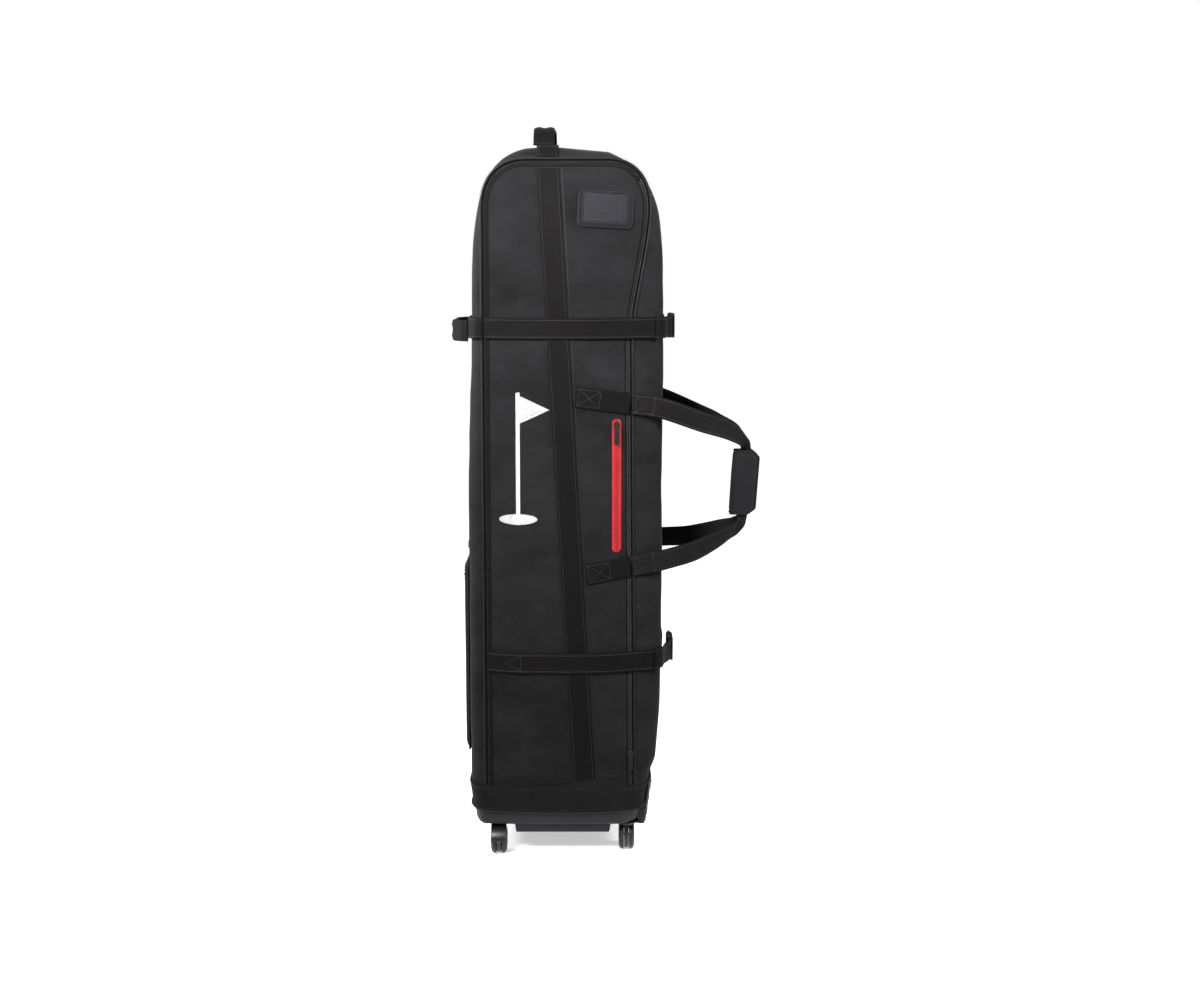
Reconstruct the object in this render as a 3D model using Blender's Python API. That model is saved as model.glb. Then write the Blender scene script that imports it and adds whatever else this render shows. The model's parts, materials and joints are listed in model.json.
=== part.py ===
"""Golf travel case: a soft-sided upright case on four spinner casters.

Metres, +Z up. +X is the front of the case, -Y the side that opens as a lid.
The origin is on the floor, under the middle of the whole object's box.
"""
import math

import bmesh
import bpy
from mathutils import Matrix, Vector

# ---------------------------------------------------------------- driving dimensions
HALF_LENGTH = 0.2825        # back handle to the origin, and origin to the grip's edge
TOTAL_HEIGHT = 1.320        # floor to the top handle
GAP = 0.0004                # between pieces that touch

CASE_BACK = -0.2505         # flat back of the fabric body
BACK_LEAN = 0.009           # how far the back draws in towards its shoulder
CASE_FRONT = 0.1015         # flat front of the fabric body
CASE_TOP = 1.282            # highest point of the fabric body
CROWN_X = -0.10             # where the body is highest
FLAT_HALF = 0.095           # half width of the flat part of back, top and front
FABRIC = 0.0028             # fabric with its foam

BACK_SHOULDER_Z = 1.00      # where the back starts to round over
BACK_LEAN_Z = (0.60, BACK_SHOULDER_Z)   # and the height over which it draws in first
FRONT_SHOULDER_Z = 1.05
SHOULDER_POWER = 3.0        # superellipse exponent of both shoulders

SEAM_BACK = -0.220          # U-shaped seam round the side panels
SEAM_FRONT_LOW = 0.051
SEAM_FRONT_MID = 0.045
SEAM_FRONT_HIGH = 0.077
SEAM_TOP = 1.258
SEAM_SHOULDER_Z = 1.17
SEAM_SWING = (0.93, 1.19)   # heights between which the front seam swings forward
SEAM_ARCH_BACK = 0.080      # width of the seam's rounded corners
SEAM_ARCH_FRONT = 0.077
SEAM_POWER = 2.3
PANEL_JOIN_Z = 0.93         # the top panel is sewn to the back and front panels here
SEAM_HALF_WIDTH = 0.137     # half width of the case at the seam
SEAM_HALF_WIDTH_LOW = 0.148
BULGE = 0.028               # how far a side stands out between its seams
BULGE_LOW = 0.004

LID_BOTTOM = 0.137          # the lid folds just below this height
LID_HINGE = Vector((0.0, -0.156, 0.134))
ZIP_INSET = 0.0066          # width of each half of the zip tape

BAND_TOP = 0.1365
BAND_BOTTOM = 0.0865
HEM_RISE = 0.006            # how far the hem rises at the corners
FRONT_LEAN = 0.0095         # the front draws in a little over its lower third,
FRONT_LEAN_Z = (0.175, 0.42)
FRONT_STEP = 0.0125         # then in a step above the kick plate,
FRONT_STEP_Z = (0.142, 0.182)
FRONT_TOE = 0.0110          # and on down to the base
SHELL_TOP = 0.122
SHELL_BOTTOM = 0.060
SHELL_WALL = 0.003
KEEL_BOTTOM = 0.042
KEEL_X = (-0.180, 0.020)
KEEL_HALF_WIDTH = 0.134
KEEL_NOTCH = 0.0415         # radius of the recess round each caster

WEB_WIDTH = 0.038
WEB_THICK = 0.0016
STRAP_UPPER_Z = 0.9645
STRAP_LOWER_Z = 0.3665
STRAP_LIFT = 0.0036         # straps pass over the piping and the upright webbing
SEWN_LIFT = 0.0008

BUCKLE_HALF_WIDTH = 0.022
BUCKLE_X = (0.1113, 0.1233)  # back and front faces
BUCKLE_PLATE = 0.003

WHEEL_RADIUS = 0.0265
WHEEL_WIDTH = 0.0095
WHEEL_INNER = 0.0050        # inner face of each wheel from the caster's middle
AXLE_RADIUS = 0.0020
CASTER_TRAIL = 0.012
CASTER_X = (-0.1976, 0.0370)
CASTER_HALF_TRACK = 0.105
TREAD_FACETS = 20
HOOD_GAP = 0.0012           # between a wheel's tread and the hood over it
HOOD_WALL = 0.0022
HOOD_ARC = (62, 172)        # degrees round the axle that the hood covers
STEM_RADIUS = 0.014

SLIDER_THICK = 0.0042
PULLER_THICK = 0.0022


# ---------------------------------------------------------------- small maths
def lerp(a, b, t):
    return a + (b - a) * t


def ease(t):
    """Smooth step from 0 to 1."""
    t = min(1.0, max(0.0, t))
    return t * t * (3.0 - 2.0 * t)


def steps(low, high, count):
    return [lerp(low, high, i / (count - 1)) for i in range(count)]


def running_length(points):
    lengths = [0.0]
    for a, b in zip(points, points[1:]):
        lengths.append(lengths[-1] + (Vector(b) - Vector(a)).length)
    return lengths


def in_step_with(points, guide):
    """Points along a polyline at the same fractions of its length as guide's points have of theirs."""
    lengths = running_length(points)
    guide_lengths = running_length(guide)
    out = []
    for part in guide_lengths:
        target = lengths[-1] * part / guide_lengths[-1]
        i = next(k for k in range(1, len(lengths)) if lengths[k] >= target - 1e-9)
        span = lengths[i] - lengths[i - 1]
        out.append(tuple(Vector(points[i - 1]).lerp(Vector(points[i]), (target - lengths[i - 1]) / span)))
    return out


def smooth_curve(keys, per_span):
    """Catmull-Rom curve through keys, each a tuple of numbers."""
    keys = [Vector(k) for k in keys]
    ends = [keys[0] * 2 - keys[1]] + keys + [keys[-1] * 2 - keys[-2]]
    out = []
    for i in range(1, len(ends) - 2):
        a, b, c, d = ends[i - 1:i + 3]
        for k in range(per_span):
            t = k / per_span
            out.append(0.5 * (2 * b + (c - a) * t + (2 * a - 5 * b + 4 * c - d) * t ** 2
                              + (3 * b - a - 3 * c + d) * t ** 3))
    out.append(keys[-1])
    return out


# ---------------------------------------------------------------- shape of the case
def arch_fraction(z, top):
    """Fraction of a rounded corner's width left at height z, for a corner that ends at top."""
    if z <= SEAM_SHOULDER_Z:
        return 1.0
    rise = min(1.0, (z - SEAM_SHOULDER_Z) / (top - SEAM_SHOULDER_Z))
    return (1.0 - rise ** SEAM_POWER) ** (1.0 / SEAM_POWER)


def seam_back_x(z, inset=0.0):
    middle = SEAM_BACK + SEAM_ARCH_BACK
    return middle - (SEAM_ARCH_BACK - inset) * arch_fraction(z, SEAM_TOP - inset)


def seam_front_x(z, inset=0.0):
    if z > SEAM_SHOULDER_Z:
        middle = SEAM_FRONT_HIGH - SEAM_ARCH_FRONT
        return middle + (SEAM_ARCH_FRONT - inset) * arch_fraction(z, SEAM_TOP - inset)
    low, high = SEAM_SWING
    straight = lerp(SEAM_FRONT_LOW, SEAM_FRONT_MID, min(1.0, (z - LID_BOTTOM) / (low - LID_BOTTOM)))
    swing = ease((z - low) / (high - low)) / ease((SEAM_SHOULDER_Z - low) / (high - low))
    return lerp(straight, SEAM_FRONT_HIGH, swing) - inset


def back_x(z):
    """The body's back draws in towards its shoulder, and a little at the skirt."""
    skirt = 0.004 * ease((BAND_TOP - z) / (BAND_TOP - BAND_BOTTOM))
    low, high = BACK_LEAN_Z
    return CASE_BACK + BACK_LEAN * ease((z - low) / (high - low)) + skirt


def front_x(z):
    """The body's front draws in towards the base."""
    low, high = FRONT_LEAN_Z
    lean = FRONT_LEAN * min(1.0, max(0.0, (high - z) / (high - low))) ** 1.3
    low, high = FRONT_STEP_Z
    step = FRONT_STEP * ease((high - z) / (high - low))
    toe = FRONT_TOE * max(0.0, (low - z) / (low - SHELL_BOTTOM))
    return CASE_FRONT - lean - step - toe


def seam_half_width(z):
    return lerp(SEAM_HALF_WIDTH_LOW, SEAM_HALF_WIDTH, ease((z - LID_BOTTOM) / 0.25))


def side_y(x, z):
    """Half width of the body at a point of its side."""
    back = seam_back_x(z)
    front = seam_front_x(z)
    across = abs(2.0 * (x - back) / (front - back) - 1.0)
    crown = 1.0 - min(1.0, across) ** 3
    from_top = min(1.0, max(0.0, (SEAM_TOP - z) / 0.22))
    height = lerp(BULGE_LOW, BULGE, ease((z - LID_BOTTOM) / 0.25)) * (1.0 - (1.0 - from_top) ** 3)
    return seam_half_width(z) + crown * height


def quarter(outer_x, seam_x, seam_y, count):
    """Rounded corner in plan, from the flat face to the seam, as (x, y)."""
    out = []
    for turn in steps(0.0, math.pi / 2, count):
        out.append((lerp(seam_x, outer_x, math.cos(turn)), lerp(FLAT_HALF, seam_y, math.sin(turn))))
    return out


def half_plan(z, inset=0.0, corner_points=6, side_points=8):
    """Half of the body's plan at height z, +Y side, from mid back round to mid front."""
    back = back_x(z) + inset
    front = front_x(z) - inset
    seam_y = seam_half_width(z) - inset
    seam_b = SEAM_BACK
    seam_f = min(seam_front_x(max(z, LID_BOTTOM)), front - 0.035)
    points = [(back, 0.0)] + quarter(back, seam_b, seam_y, corner_points)
    for x in steps(seam_b, seam_f, side_points)[1:-1]:
        points.append((x, side_y(x, max(z, LID_BOTTOM)) - inset))
    points += reversed(quarter(front, seam_f, seam_y, corner_points))
    return points + [(front, 0.0)]


def full_plan(z, inset=0.0):
    """Closed plan of the body at height z."""
    half = half_plan(z, inset)
    return half + [(x, -y) for x, y in reversed(half[1:-1])]


def seam_heights(inset):
    """Heights of the seam's stations, from its foot to its top; the same number at every inset."""
    straight = [LID_BOTTOM, 0.150, 0.165, 0.182, 0.20, 0.25, 0.32, 0.40, 0.58, 0.76, PANEL_JOIN_Z]
    straight += [0.98, 1.03, 1.08, 1.13]
    arch = [SEAM_SHOULDER_Z + (SEAM_TOP - inset - SEAM_SHOULDER_Z) * math.sin(a) ** (2 / SEAM_POWER)
            for a in steps(0.0, math.pi / 2, 7)]
    return straight + arch


def seam_path(inset):
    """The U-shaped seam as (x, z), from the foot of the back up and down to the foot of the front."""
    heights = seam_heights(inset)
    back = [(seam_back_x(z, inset), z) for z in heights]
    front = [(seam_front_x(z, inset), z) for z in heights]
    return back + list(reversed(front))


# ---------------------------------------------------------------- building blocks
def remove_everything():
    for obj in list(bpy.data.objects):
        bpy.data.objects.remove(obj, do_unlink=True)


def material(name, colour, roughness, metallic=0.0, alpha=1.0):
    mat = bpy.data.materials.new(name)
    mat.use_nodes = True
    shader = mat.node_tree.nodes["Principled BSDF"]
    shader.inputs["Base Color"].default_value = (*colour, 1.0)
    shader.inputs["Roughness"].default_value = roughness
    shader.inputs["Metallic"].default_value = metallic
    shader.inputs["Alpha"].default_value = alpha
    return mat


def pivot(name, place, parent=None):
    """An empty on a joint's axis. place is a world position."""
    empty = bpy.data.objects.new(name, None)
    bpy.context.scene.collection.objects.link(empty)
    empty.parent = parent
    empty["world"] = list(place)
    base = Vector(parent["world"]) if parent else Vector((0, 0, 0))
    empty.location = Vector(place) - base
    return empty


def solid(name, vertices, faces, mat, body=None, smooth_angle=None):
    """One closed body from world coordinates, hung on the pivot empty of its moving body."""
    mesh = bpy.data.meshes.new(name)
    mesh.from_pydata([tuple(v) for v in vertices], [], faces)
    tool = bmesh.new()
    tool.from_mesh(mesh)
    bmesh.ops.recalc_face_normals(tool, faces=tool.faces)
    tool.to_mesh(mesh)
    tool.free()
    mesh.materials.append(mat)
    if smooth_angle:
        mesh.shade_smooth()
        mesh.set_sharp_from_angle(angle=math.radians(smooth_angle))
    obj = bpy.data.objects.new(name, mesh)
    bpy.context.scene.collection.objects.link(obj)
    if body:
        mesh.transform(Matrix.Translation(-Vector(body["world"])))
        obj.parent = body
    return obj


def sheet(name, outer, inner, mat, body=None, closed=False):
    """Closed solid between two grids of points. closed joins the last row to the first."""
    rows = len(outer)
    cols = len(outer[0])
    vertices = [p for grid in (outer, inner) for row in grid for p in row]

    def at(layer, i, j):
        return layer * rows * cols + (i % rows) * cols + j

    faces = []
    last = rows if closed else rows - 1
    for i in range(last):
        for j in range(cols - 1):
            for layer in (0, 1):
                faces.append((at(layer, i, j), at(layer, i + 1, j),
                              at(layer, i + 1, j + 1), at(layer, i, j + 1)))
        for j in (0, cols - 1):
            faces.append((at(0, i, j), at(0, i + 1, j), at(1, i + 1, j), at(1, i, j)))
    if not closed:
        for i in (0, rows - 1):
            for j in range(cols - 1):
                faces.append((at(0, i, j), at(0, i, j + 1), at(1, i, j + 1), at(1, i, j)))
    return solid(name, vertices, faces, mat, body, smooth_angle=35)


def side_patch(name, side, rows, lift, thick, mat, body=None, closed=False):
    """Flat piece sewn on a side. side is -1 near, +1 far; rows hold (x, z) points."""
    grids = []
    for height in (lift + thick, lift):
        grids.append([[Vector((x, side * (side_y(x, z) + height), z)) for x, z in row] for row in rows])
    return sheet(name, grids[0], grids[1], mat, body, closed)


def prism(name, outline, to_world, low, high, mat, body=None):
    """Outline extruded between low and high. to_world(a, b, c) places a point."""
    count = len(outline)
    vertices = [to_world(a, b, c) for c in (low, high) for a, b in outline]
    faces = [tuple(range(count)), tuple(range(count, 2 * count))]
    for i in range(count):
        j = (i + 1) % count
        faces.append((i, j, j + count, i + count))
    return solid(name, vertices, faces, mat, body)


def turned(name, profile, centre, mat, body=None, facets=TREAD_FACETS):
    """Ring turned about the X axis through centre. profile is a closed loop of (x, radius)."""
    vertices = []
    for k in range(facets):
        angle = 2 * math.pi * k / facets
        for x, r in profile:
            vertices.append(Vector(centre) + Vector((x, r * math.cos(angle), r * math.sin(angle))))
    count = len(profile)
    faces = []
    for k in range(facets):
        for i in range(count):
            a = k * count + i
            b = k * count + (i + 1) % count
            step = ((k + 1) % facets - k) * count
            faces.append((a, b, b + step, a + step))
    return solid(name, vertices, faces, mat, body, smooth_angle=35)


def rod(name, centre, half, radius, mat, body=None, facets=12):
    """Round rod along X."""
    outline = [(radius * math.cos(a), radius * math.sin(a)) for a in steps(0.0, 2 * math.pi, facets + 1)[:-1]]
    return prism(name, outline, lambda a, b, c: Vector(centre) + Vector((c, a, b)), -half, half, mat, body)


def ribbon(name, points, width_dirs, width, thick, mat, body=None):
    """Webbing swept along points. width_dirs gives the direction across it at each point."""
    outer = []
    inner = []
    for i, point in enumerate(points):
        ahead = points[min(i + 1, len(points) - 1)] - points[max(i - 1, 0)]
        across = width_dirs[i]
        normal = ahead.cross(across).normalized()
        edge = [point - across * width / 2, point + across * width / 2]
        outer.append([p + normal * thick / 2 for p in edge])
        inner.append([p - normal * thick / 2 for p in edge])
    return sheet(name, outer, inner, mat, body)


def combine(base, other, operation):
    """Boolean of two solids, applied at once; other is removed."""
    change = base.modifiers.new(operation, "BOOLEAN")
    change.operation = operation
    change.object = other
    result = bpy.data.meshes.new_from_object(base.evaluated_get(bpy.context.evaluated_depsgraph_get()))
    base.modifiers.clear()
    base.data = result
    bpy.data.objects.remove(other, do_unlink=True)
    return base


def box(name, low, high, mat, body=None):
    outline = [(low[0], low[1]), (high[0], low[1]), (high[0], high[1]), (low[0], high[1])]
    return prism(name, outline, lambda a, b, c: Vector((a, b, c)), low[2], high[2], mat, body)


# ---------------------------------------------------------------- fabric body
def gusset(name, outer_path, seam, mat):
    """Wall panel between the two seams. Paths are lists of (x, z) of equal length."""
    outer = []
    inner = []
    for (ox, oz), (sx, sz) in zip(outer_path, seam):
        high = Vector((ox, 0, oz))
        low = Vector((sx, 0, sz))
        depth = (high - low).length
        half = seam_half_width(sz)
        rows = []
        for layer, wall in ((0, 0.0), (1, FABRIC)):
            crown = low.lerp(high, (depth - wall) / depth)
            arc = []
            for turn in steps(0.0, math.pi / 2, 5):
                place = low.lerp(crown, math.cos(turn))
                place.y = lerp(FLAT_HALF, half - wall, math.sin(turn))
                arc.append(place)
            rows.append([Vector((p.x, -p.y, p.z)) for p in reversed(arc)] + arc)
        outer.append(rows[0])
        inner.append(rows[1])
    return sheet(name, outer, inner, mat)


def shoulder_paths():
    """Outer outline and seam of the top panel, from its back end over the top to its front end."""
    power = 2 / SHOULDER_POWER
    turns = steps(0.0, math.pi / 2, 40)
    shoulder = back_x(BACK_SHOULDER_Z)
    back = [(back_x(z), z) for z in steps(PANEL_JOIN_Z, BACK_SHOULDER_Z, 6)[:-1]]
    back += [(CROWN_X + (shoulder - CROWN_X) * math.cos(a) ** power,
              BACK_SHOULDER_Z + (CASE_TOP - BACK_SHOULDER_Z) * math.sin(a) ** power) for a in turns]
    front = [(CROWN_X + (CASE_FRONT - CROWN_X) * math.cos(a) ** power,
              FRONT_SHOULDER_Z + (CASE_TOP - FRONT_SHOULDER_Z) * math.sin(a) ** power)
             for a in reversed(turns)]
    front.append((CASE_FRONT, PANEL_JOIN_Z))
    seam = [p for p in seam_path(0.0) if p[1] >= PANEL_JOIN_Z]
    half = len(seam) // 2
    seam_back = seam[:half] + [(CROWN_X, SEAM_TOP)]
    seam_front = [(CROWN_X, SEAM_TOP)] + seam[half:]
    outer = in_step_with(back, seam_back)[:-1] + in_step_with(front, seam_front)
    return outer, seam_back[:-1] + seam_front


def make_body(fabric, foam):
    over, under = shoulder_paths()
    gusset("gusset_top", over, under, fabric)
    heights = [z for z in seam_heights(0.0) if z < PANEL_JOIN_Z] + [PANEL_JOIN_Z - GAP]
    gusset("gusset_back", [(back_x(z), z) for z in heights], [(SEAM_BACK, z) for z in heights], fabric)
    gusset("gusset_front", [(front_x(z), z) for z in heights],
           [(seam_front_x(z), z) for z in heights], fabric)

    # Foam lies against the inside of the top panel.
    near_wall = 0.005
    far_wall = 0.015
    layers = []
    for depth in (near_wall, far_wall):
        layers.append([])
        for (ox, oz), (sx, sz) in list(zip(over, under))[3:-4]:
            inward = Vector((sx - ox, 0, sz - oz)).normalized() * depth
            layers[-1].append([Vector((ox, y, oz)) + inward for y in (-FLAT_HALF, FLAT_HALF)])
    sheet("top_pad", layers[0], layers[1], foam)


def panel_rows(inset, cols=8):
    """Rows of (x, z) that fill a side panel inside its seam."""
    return [[(x, z) for x in steps(seam_back_x(z, inset), seam_front_x(z, inset), cols)]
            for z in seam_heights(inset)]


def seam_strip(name, side, inset, width, lift, thick, mat, body=None):
    """Strip that follows the U-shaped seam."""
    rows = list(zip(seam_path(inset), seam_path(inset + width)))
    return side_patch(name, side, rows, lift, thick, mat, body)


def make_sides(fabric, zip_mat, piping_mat, lid):
    side_patch("side_panel_far", 1, panel_rows(2 * GAP), -FABRIC, FABRIC, fabric)
    lid_inset = 2 * (ZIP_INSET + GAP)
    side_patch("lid_panel", -1, panel_rows(lid_inset), -FABRIC, FABRIC, fabric, lid)
    seam_strip("zip_tape_case", -1, GAP, ZIP_INSET, -0.0022, 0.0018, zip_mat)
    seam_strip("zip_tape_lid", -1, ZIP_INSET + 2 * GAP, ZIP_INSET - GAP, -0.0022, 0.0018, zip_mat, lid)
    for name, side in (("piping_near", -1), ("piping_far", 1)):
        seam_strip(name, side, -0.0024, 0.0034, SEWN_LIFT, 0.0012, piping_mat)


# ---------------------------------------------------------------- base
def ring(z, inset):
    return [Vector((x, y, z)) for x, y in full_plan(z, inset)]


def loft(name, rings, mat):
    """Closed solid through rings of equal count, with flat ends."""
    count = len(rings[0])
    vertices = [p for r in rings for p in r]
    faces = [tuple(range(count)), tuple(range((len(rings) - 1) * count, len(rings) * count))]
    for k in range(len(rings) - 1):
        for i in range(count):
            j = (i + 1) % count
            faces.append((k * count + i, k * count + j, (k + 1) * count + j, (k + 1) * count + i))
    return solid(name, vertices, faces, mat, smooth_angle=35)


def hem_height(x):
    """The hem rises a little at the corners of the case."""
    across = (x - CASE_BACK) / (front_x(BAND_BOTTOM) - CASE_BACK)
    return BAND_BOTTOM + HEM_RISE * abs(2.0 * min(1.0, max(0.0, across)) - 1.0) ** 2.5


def keel_ring(z, scale):
    """Plan of the keel between the casters, with a round recess at each, drawn in by scale."""
    centre_x = sum(KEEL_X) / 2
    quarters = []
    for caster_x, end_x in zip(CASTER_X, KEEL_X):
        reach = end_x - caster_x
        start = math.atan2(-math.sqrt(KEEL_NOTCH ** 2 - reach ** 2), reach)
        rise = KEEL_HALF_WIDTH - CASTER_HALF_TRACK
        end = math.atan2(rise, math.copysign(math.sqrt(KEEL_NOTCH ** 2 - rise ** 2), reach))
        if reach < 0:
            start += 2 * math.pi
        quarters.append([(caster_x + KEEL_NOTCH * math.cos(a), CASTER_HALF_TRACK + KEEL_NOTCH * math.sin(a))
                         for a in steps(start, end, 9)])
    half = quarters[0] + list(reversed(quarters[1]))
    plan = half + [(x, -y) for x, y in reversed(half)]
    return [Vector((centre_x + (x - centre_x) * scale, y * scale, z)) for x, y in plan]


def make_base(plastic, board, fabric):
    wall = FABRIC + 3 * GAP
    foot_inset = 0.013
    bend_z = 0.073
    bend_inset = wall + 0.002
    outer = [ring(SHELL_BOTTOM, foot_inset), ring(0.064, 0.008), ring(bend_z, bend_inset), ring(SHELL_TOP, wall)]
    inner = [ring(SHELL_TOP, wall + SHELL_WALL), ring(bend_z, bend_inset + SHELL_WALL),
             ring(SHELL_BOTTOM + SHELL_WALL, foot_inset)]
    shell = loft("base_shell", outer + inner, plastic)
    keel_top = SHELL_BOTTOM + SHELL_WALL / 2
    keel = loft("keel", [keel_ring(keel_top, 1.0), keel_ring(KEEL_BOTTOM, 0.97)], plastic)
    combine(shell, keel, "UNION")
    hollow_rings = [keel_ring(keel_top + 0.005, 0.955), keel_ring(KEEL_BOTTOM + SHELL_WALL, 0.94)]
    hollow = loft("keel_hollow", hollow_rings, plastic)
    combine(shell, hollow, "DIFFERENCE")

    floor = SHELL_BOTTOM + SHELL_WALL
    loft("base_board", [ring(floor + GAP, 0.0145), ring(floor + 0.005, 0.0145)], board)

    plan = full_plan(BAND_TOP)
    outer_rows = []
    inner_rows = []
    for k in range(len(plan)):
        column = []
        lining = []
        for share in (0.0, 0.5, 1.0):
            here = full_plan(lerp(BAND_BOTTOM, BAND_TOP, share))[k]
            z = lerp(hem_height(plan[k][0]), BAND_TOP, share)
            column.append(Vector((here[0], here[1], z)))
            under = full_plan(lerp(BAND_BOTTOM, BAND_TOP, share), FABRIC)[k]
            lining.append(Vector((under[0], under[1], z)))
        outer_rows.append(column)
        inner_rows.append(lining)
    sheet("skirt_band", outer_rows, inner_rows, fabric, closed=True)

    # The kick plate stands on the front of the band.
    plate_rows = ([], [])
    for y in steps(-0.118, 0.118, 13):
        for rows, lift in zip(plate_rows, (0.0045, 0.0012)):
            row = []
            for z in (0.0560, 0.075, 0.095, 0.118, 0.1395):
                seam_f = seam_front_x(LID_BOTTOM)
                bend = max(0.0, (abs(y) - FLAT_HALF) / (seam_half_width(z) - FLAT_HALF))
                x = lerp(seam_f, front_x(z), math.sqrt(1.0 - bend ** 2))
                row.append(Vector((x + lift, y * (1.0 + lift / 0.118 * bend), z)))
            rows.append(row)
    sheet("kick_plate", plate_rows[0], plate_rows[1], plastic)


# ---------------------------------------------------------------- webbing on the body
def plan_strip(name, points, z, lift, thick, mat, body=None, width=WEB_WIDTH):
    """Strap that runs level round the body. points are (x, y) on the body's surface."""
    layers = []
    for height in (lift + thick, lift):
        rows = []
        for i, (x, y) in enumerate(points):
            before = Vector(points[max(i - 1, 0)])
            after = Vector(points[min(i + 1, len(points) - 1)])
            along = (after - before).normalized()
            out = Vector((along.y, -along.x))
            if out.dot(Vector((x + 0.08, y))) < 0:
                out = -out
            edge = Vector((x, y)) + out * height
            rows.append([Vector((edge.x, edge.y, z - width / 2)), Vector((edge.x, edge.y, z + width / 2))])
        layers.append(rows)
    return sheet(name, layers[0], layers[1], mat, body)


def strap_route(z, from_x, to_y, side, over_back):
    """Surface points of a strap along one side and round the front corner, from from_x to y = to_y."""
    half = half_plan(z, corner_points=7, side_points=12)
    points = [p for p in half if p[1] > 0.0 and (p[0] > from_x or over_back)]
    start = [] if over_back else [(from_x, side_y(from_x, z))]
    route = start + points + [(front_x(z), to_y)]
    return [(x, side * y) for x, y in route]


def make_straps(web, lid):
    for name, z in (("upper", STRAP_UPPER_Z), ("lower", STRAP_LOWER_Z)):
        near = strap_route(z, SEAM_BACK + 0.010, 0.0400, -1, False)
        plan_strip(f"strap_{name}_near", near, z, STRAP_LIFT, WEB_THICK, web, lid)
    far = strap_route(STRAP_UPPER_Z, SEAM_BACK, 0.012, 1, True)
    corner = quarter(back_x(STRAP_UPPER_Z), SEAM_BACK + 0.004, seam_half_width(STRAP_UPPER_Z), 6)
    corner = [(x, -y) for x, y in corner]
    plan_strip("strap_upper_far", list(reversed(corner)) + far, STRAP_UPPER_Z, STRAP_LIFT, WEB_THICK, web)
    low = strap_route(STRAP_LOWER_Z, SEAM_BACK + 0.006, 0.012, 1, False)
    plan_strip("strap_lower_far", low, STRAP_LOWER_Z, STRAP_LIFT, WEB_THICK, web)


def upright_centre(z):
    """The upright webbing leans forward on its way down."""
    return lerp(-0.103, -0.040, (SEAM_TOP - z) / (SEAM_TOP - LID_BOTTOM))


def make_upright(name, side, mat, body=None):
    heights = [LID_BOTTOM + 0.002] + [z for z in seam_heights(0.0)[1:] if z < 1.14]
    heights += [1.155, 1.175, 1.195, 1.212, 1.227, 1.238]
    rows = [[(x, z) for x in steps(upright_centre(z) - WEB_WIDTH / 2, upright_centre(z) + WEB_WIDTH / 2, 3)]
            for z in heights]
    side_patch(name, side, rows, SEWN_LIFT, WEB_THICK, mat, body)


ANCHORS = {"upper": ((-0.055, 0.846), (0.0415, 0.831)), "lower": ((-0.037, 0.5285), (0.0415, 0.5405))}


def make_anchor(name, side, ends, mat, body=None):
    start = Vector(ends[0])
    end = Vector(ends[1])
    along = (end - start).normalized()
    across = Vector((-along.y, along.x)) * WEB_WIDTH / 2
    rows = []
    for t in steps(0.0, 1.0, 5):
        middle = start.lerp(end, t)
        rows.append([(middle - across)[:], middle[:], (middle + across)[:]])
    side_patch(name, side, rows, SEWN_LIFT, WEB_THICK, mat, body)


def make_grab_handle(name, middle, outward, across, height, clear, mat):
    """Webbing handle that arches along Y. middle is on the body; outward leads away from it."""
    half = 0.085
    tab = 0.020
    thick = 0.003
    points = []
    for y in steps(-half - tab, half + tab, 19):
        rise = max(0.0, 1.0 - abs(y / half) ** 3) ** 0.6
        points.append(Vector(middle) + Vector(outward) * (clear + thick / 2 + (height - clear - thick) * rise)
                      + Vector((0, y, 0)))
    ribbon(name, points, [Vector(across)] * len(points), WEB_WIDTH, thick, mat)


# ---------------------------------------------------------------- carry handle
# Middle line of one loop: x, distance from the middle plane, z, and roll of the webbing in degrees.
CARRY_KEYS = [
    (0.0465, 0.1425, 0.8310, 0), (0.0980, 0.1340, 0.8225, 0), (0.1720, 0.0880, 0.7940, 8),
    (0.2240, 0.0460, 0.7740, 32), (0.2500, 0.0260, 0.7550, 40), (0.2585, 0.0115, 0.7340, 0),
    (0.2560, 0.0115, 0.6720, 0), (0.2525, 0.0115, 0.6130, 0), (0.2410, 0.0260, 0.5920, 42),
    (0.2150, 0.0460, 0.5790, 34), (0.1580, 0.0920, 0.5590, 8), (0.0980, 0.1340, 0.5490, 0),
    (0.0465, 0.1425, 0.5405, 0)]
CARRY_HINGE = (0.0440, 0.1425, 0.686)
GRIP_Z = (0.6160, 0.7330)
GRIP_LEAN = 0.008           # the grip's foot is this much nearer the case
GRIP_X = (0.2350, HALF_LENGTH)
GRIP_Y = (0.0020, 0.0210)
GRIP_WALL = 0.0035


def make_carry_loop(name, side, mat, body):
    curve = smooth_curve(CARRY_KEYS, 3)
    points = [Vector((p[0], side * p[1], p[2])) for p in curve]
    dirs = []
    for i, p in enumerate(curve):
        ahead = (points[min(i + 1, len(points) - 1)] - points[max(i - 1, 0)]).normalized()
        level = ahead.cross(Vector((0, 1, 0))).normalized()
        dirs.append((Matrix.Rotation(side * math.radians(p[3]), 3, ahead) @ level).normalized())
    ribbon(name, points, dirs, WEB_WIDTH - 0.001, 0.0022, mat, body)


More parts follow.
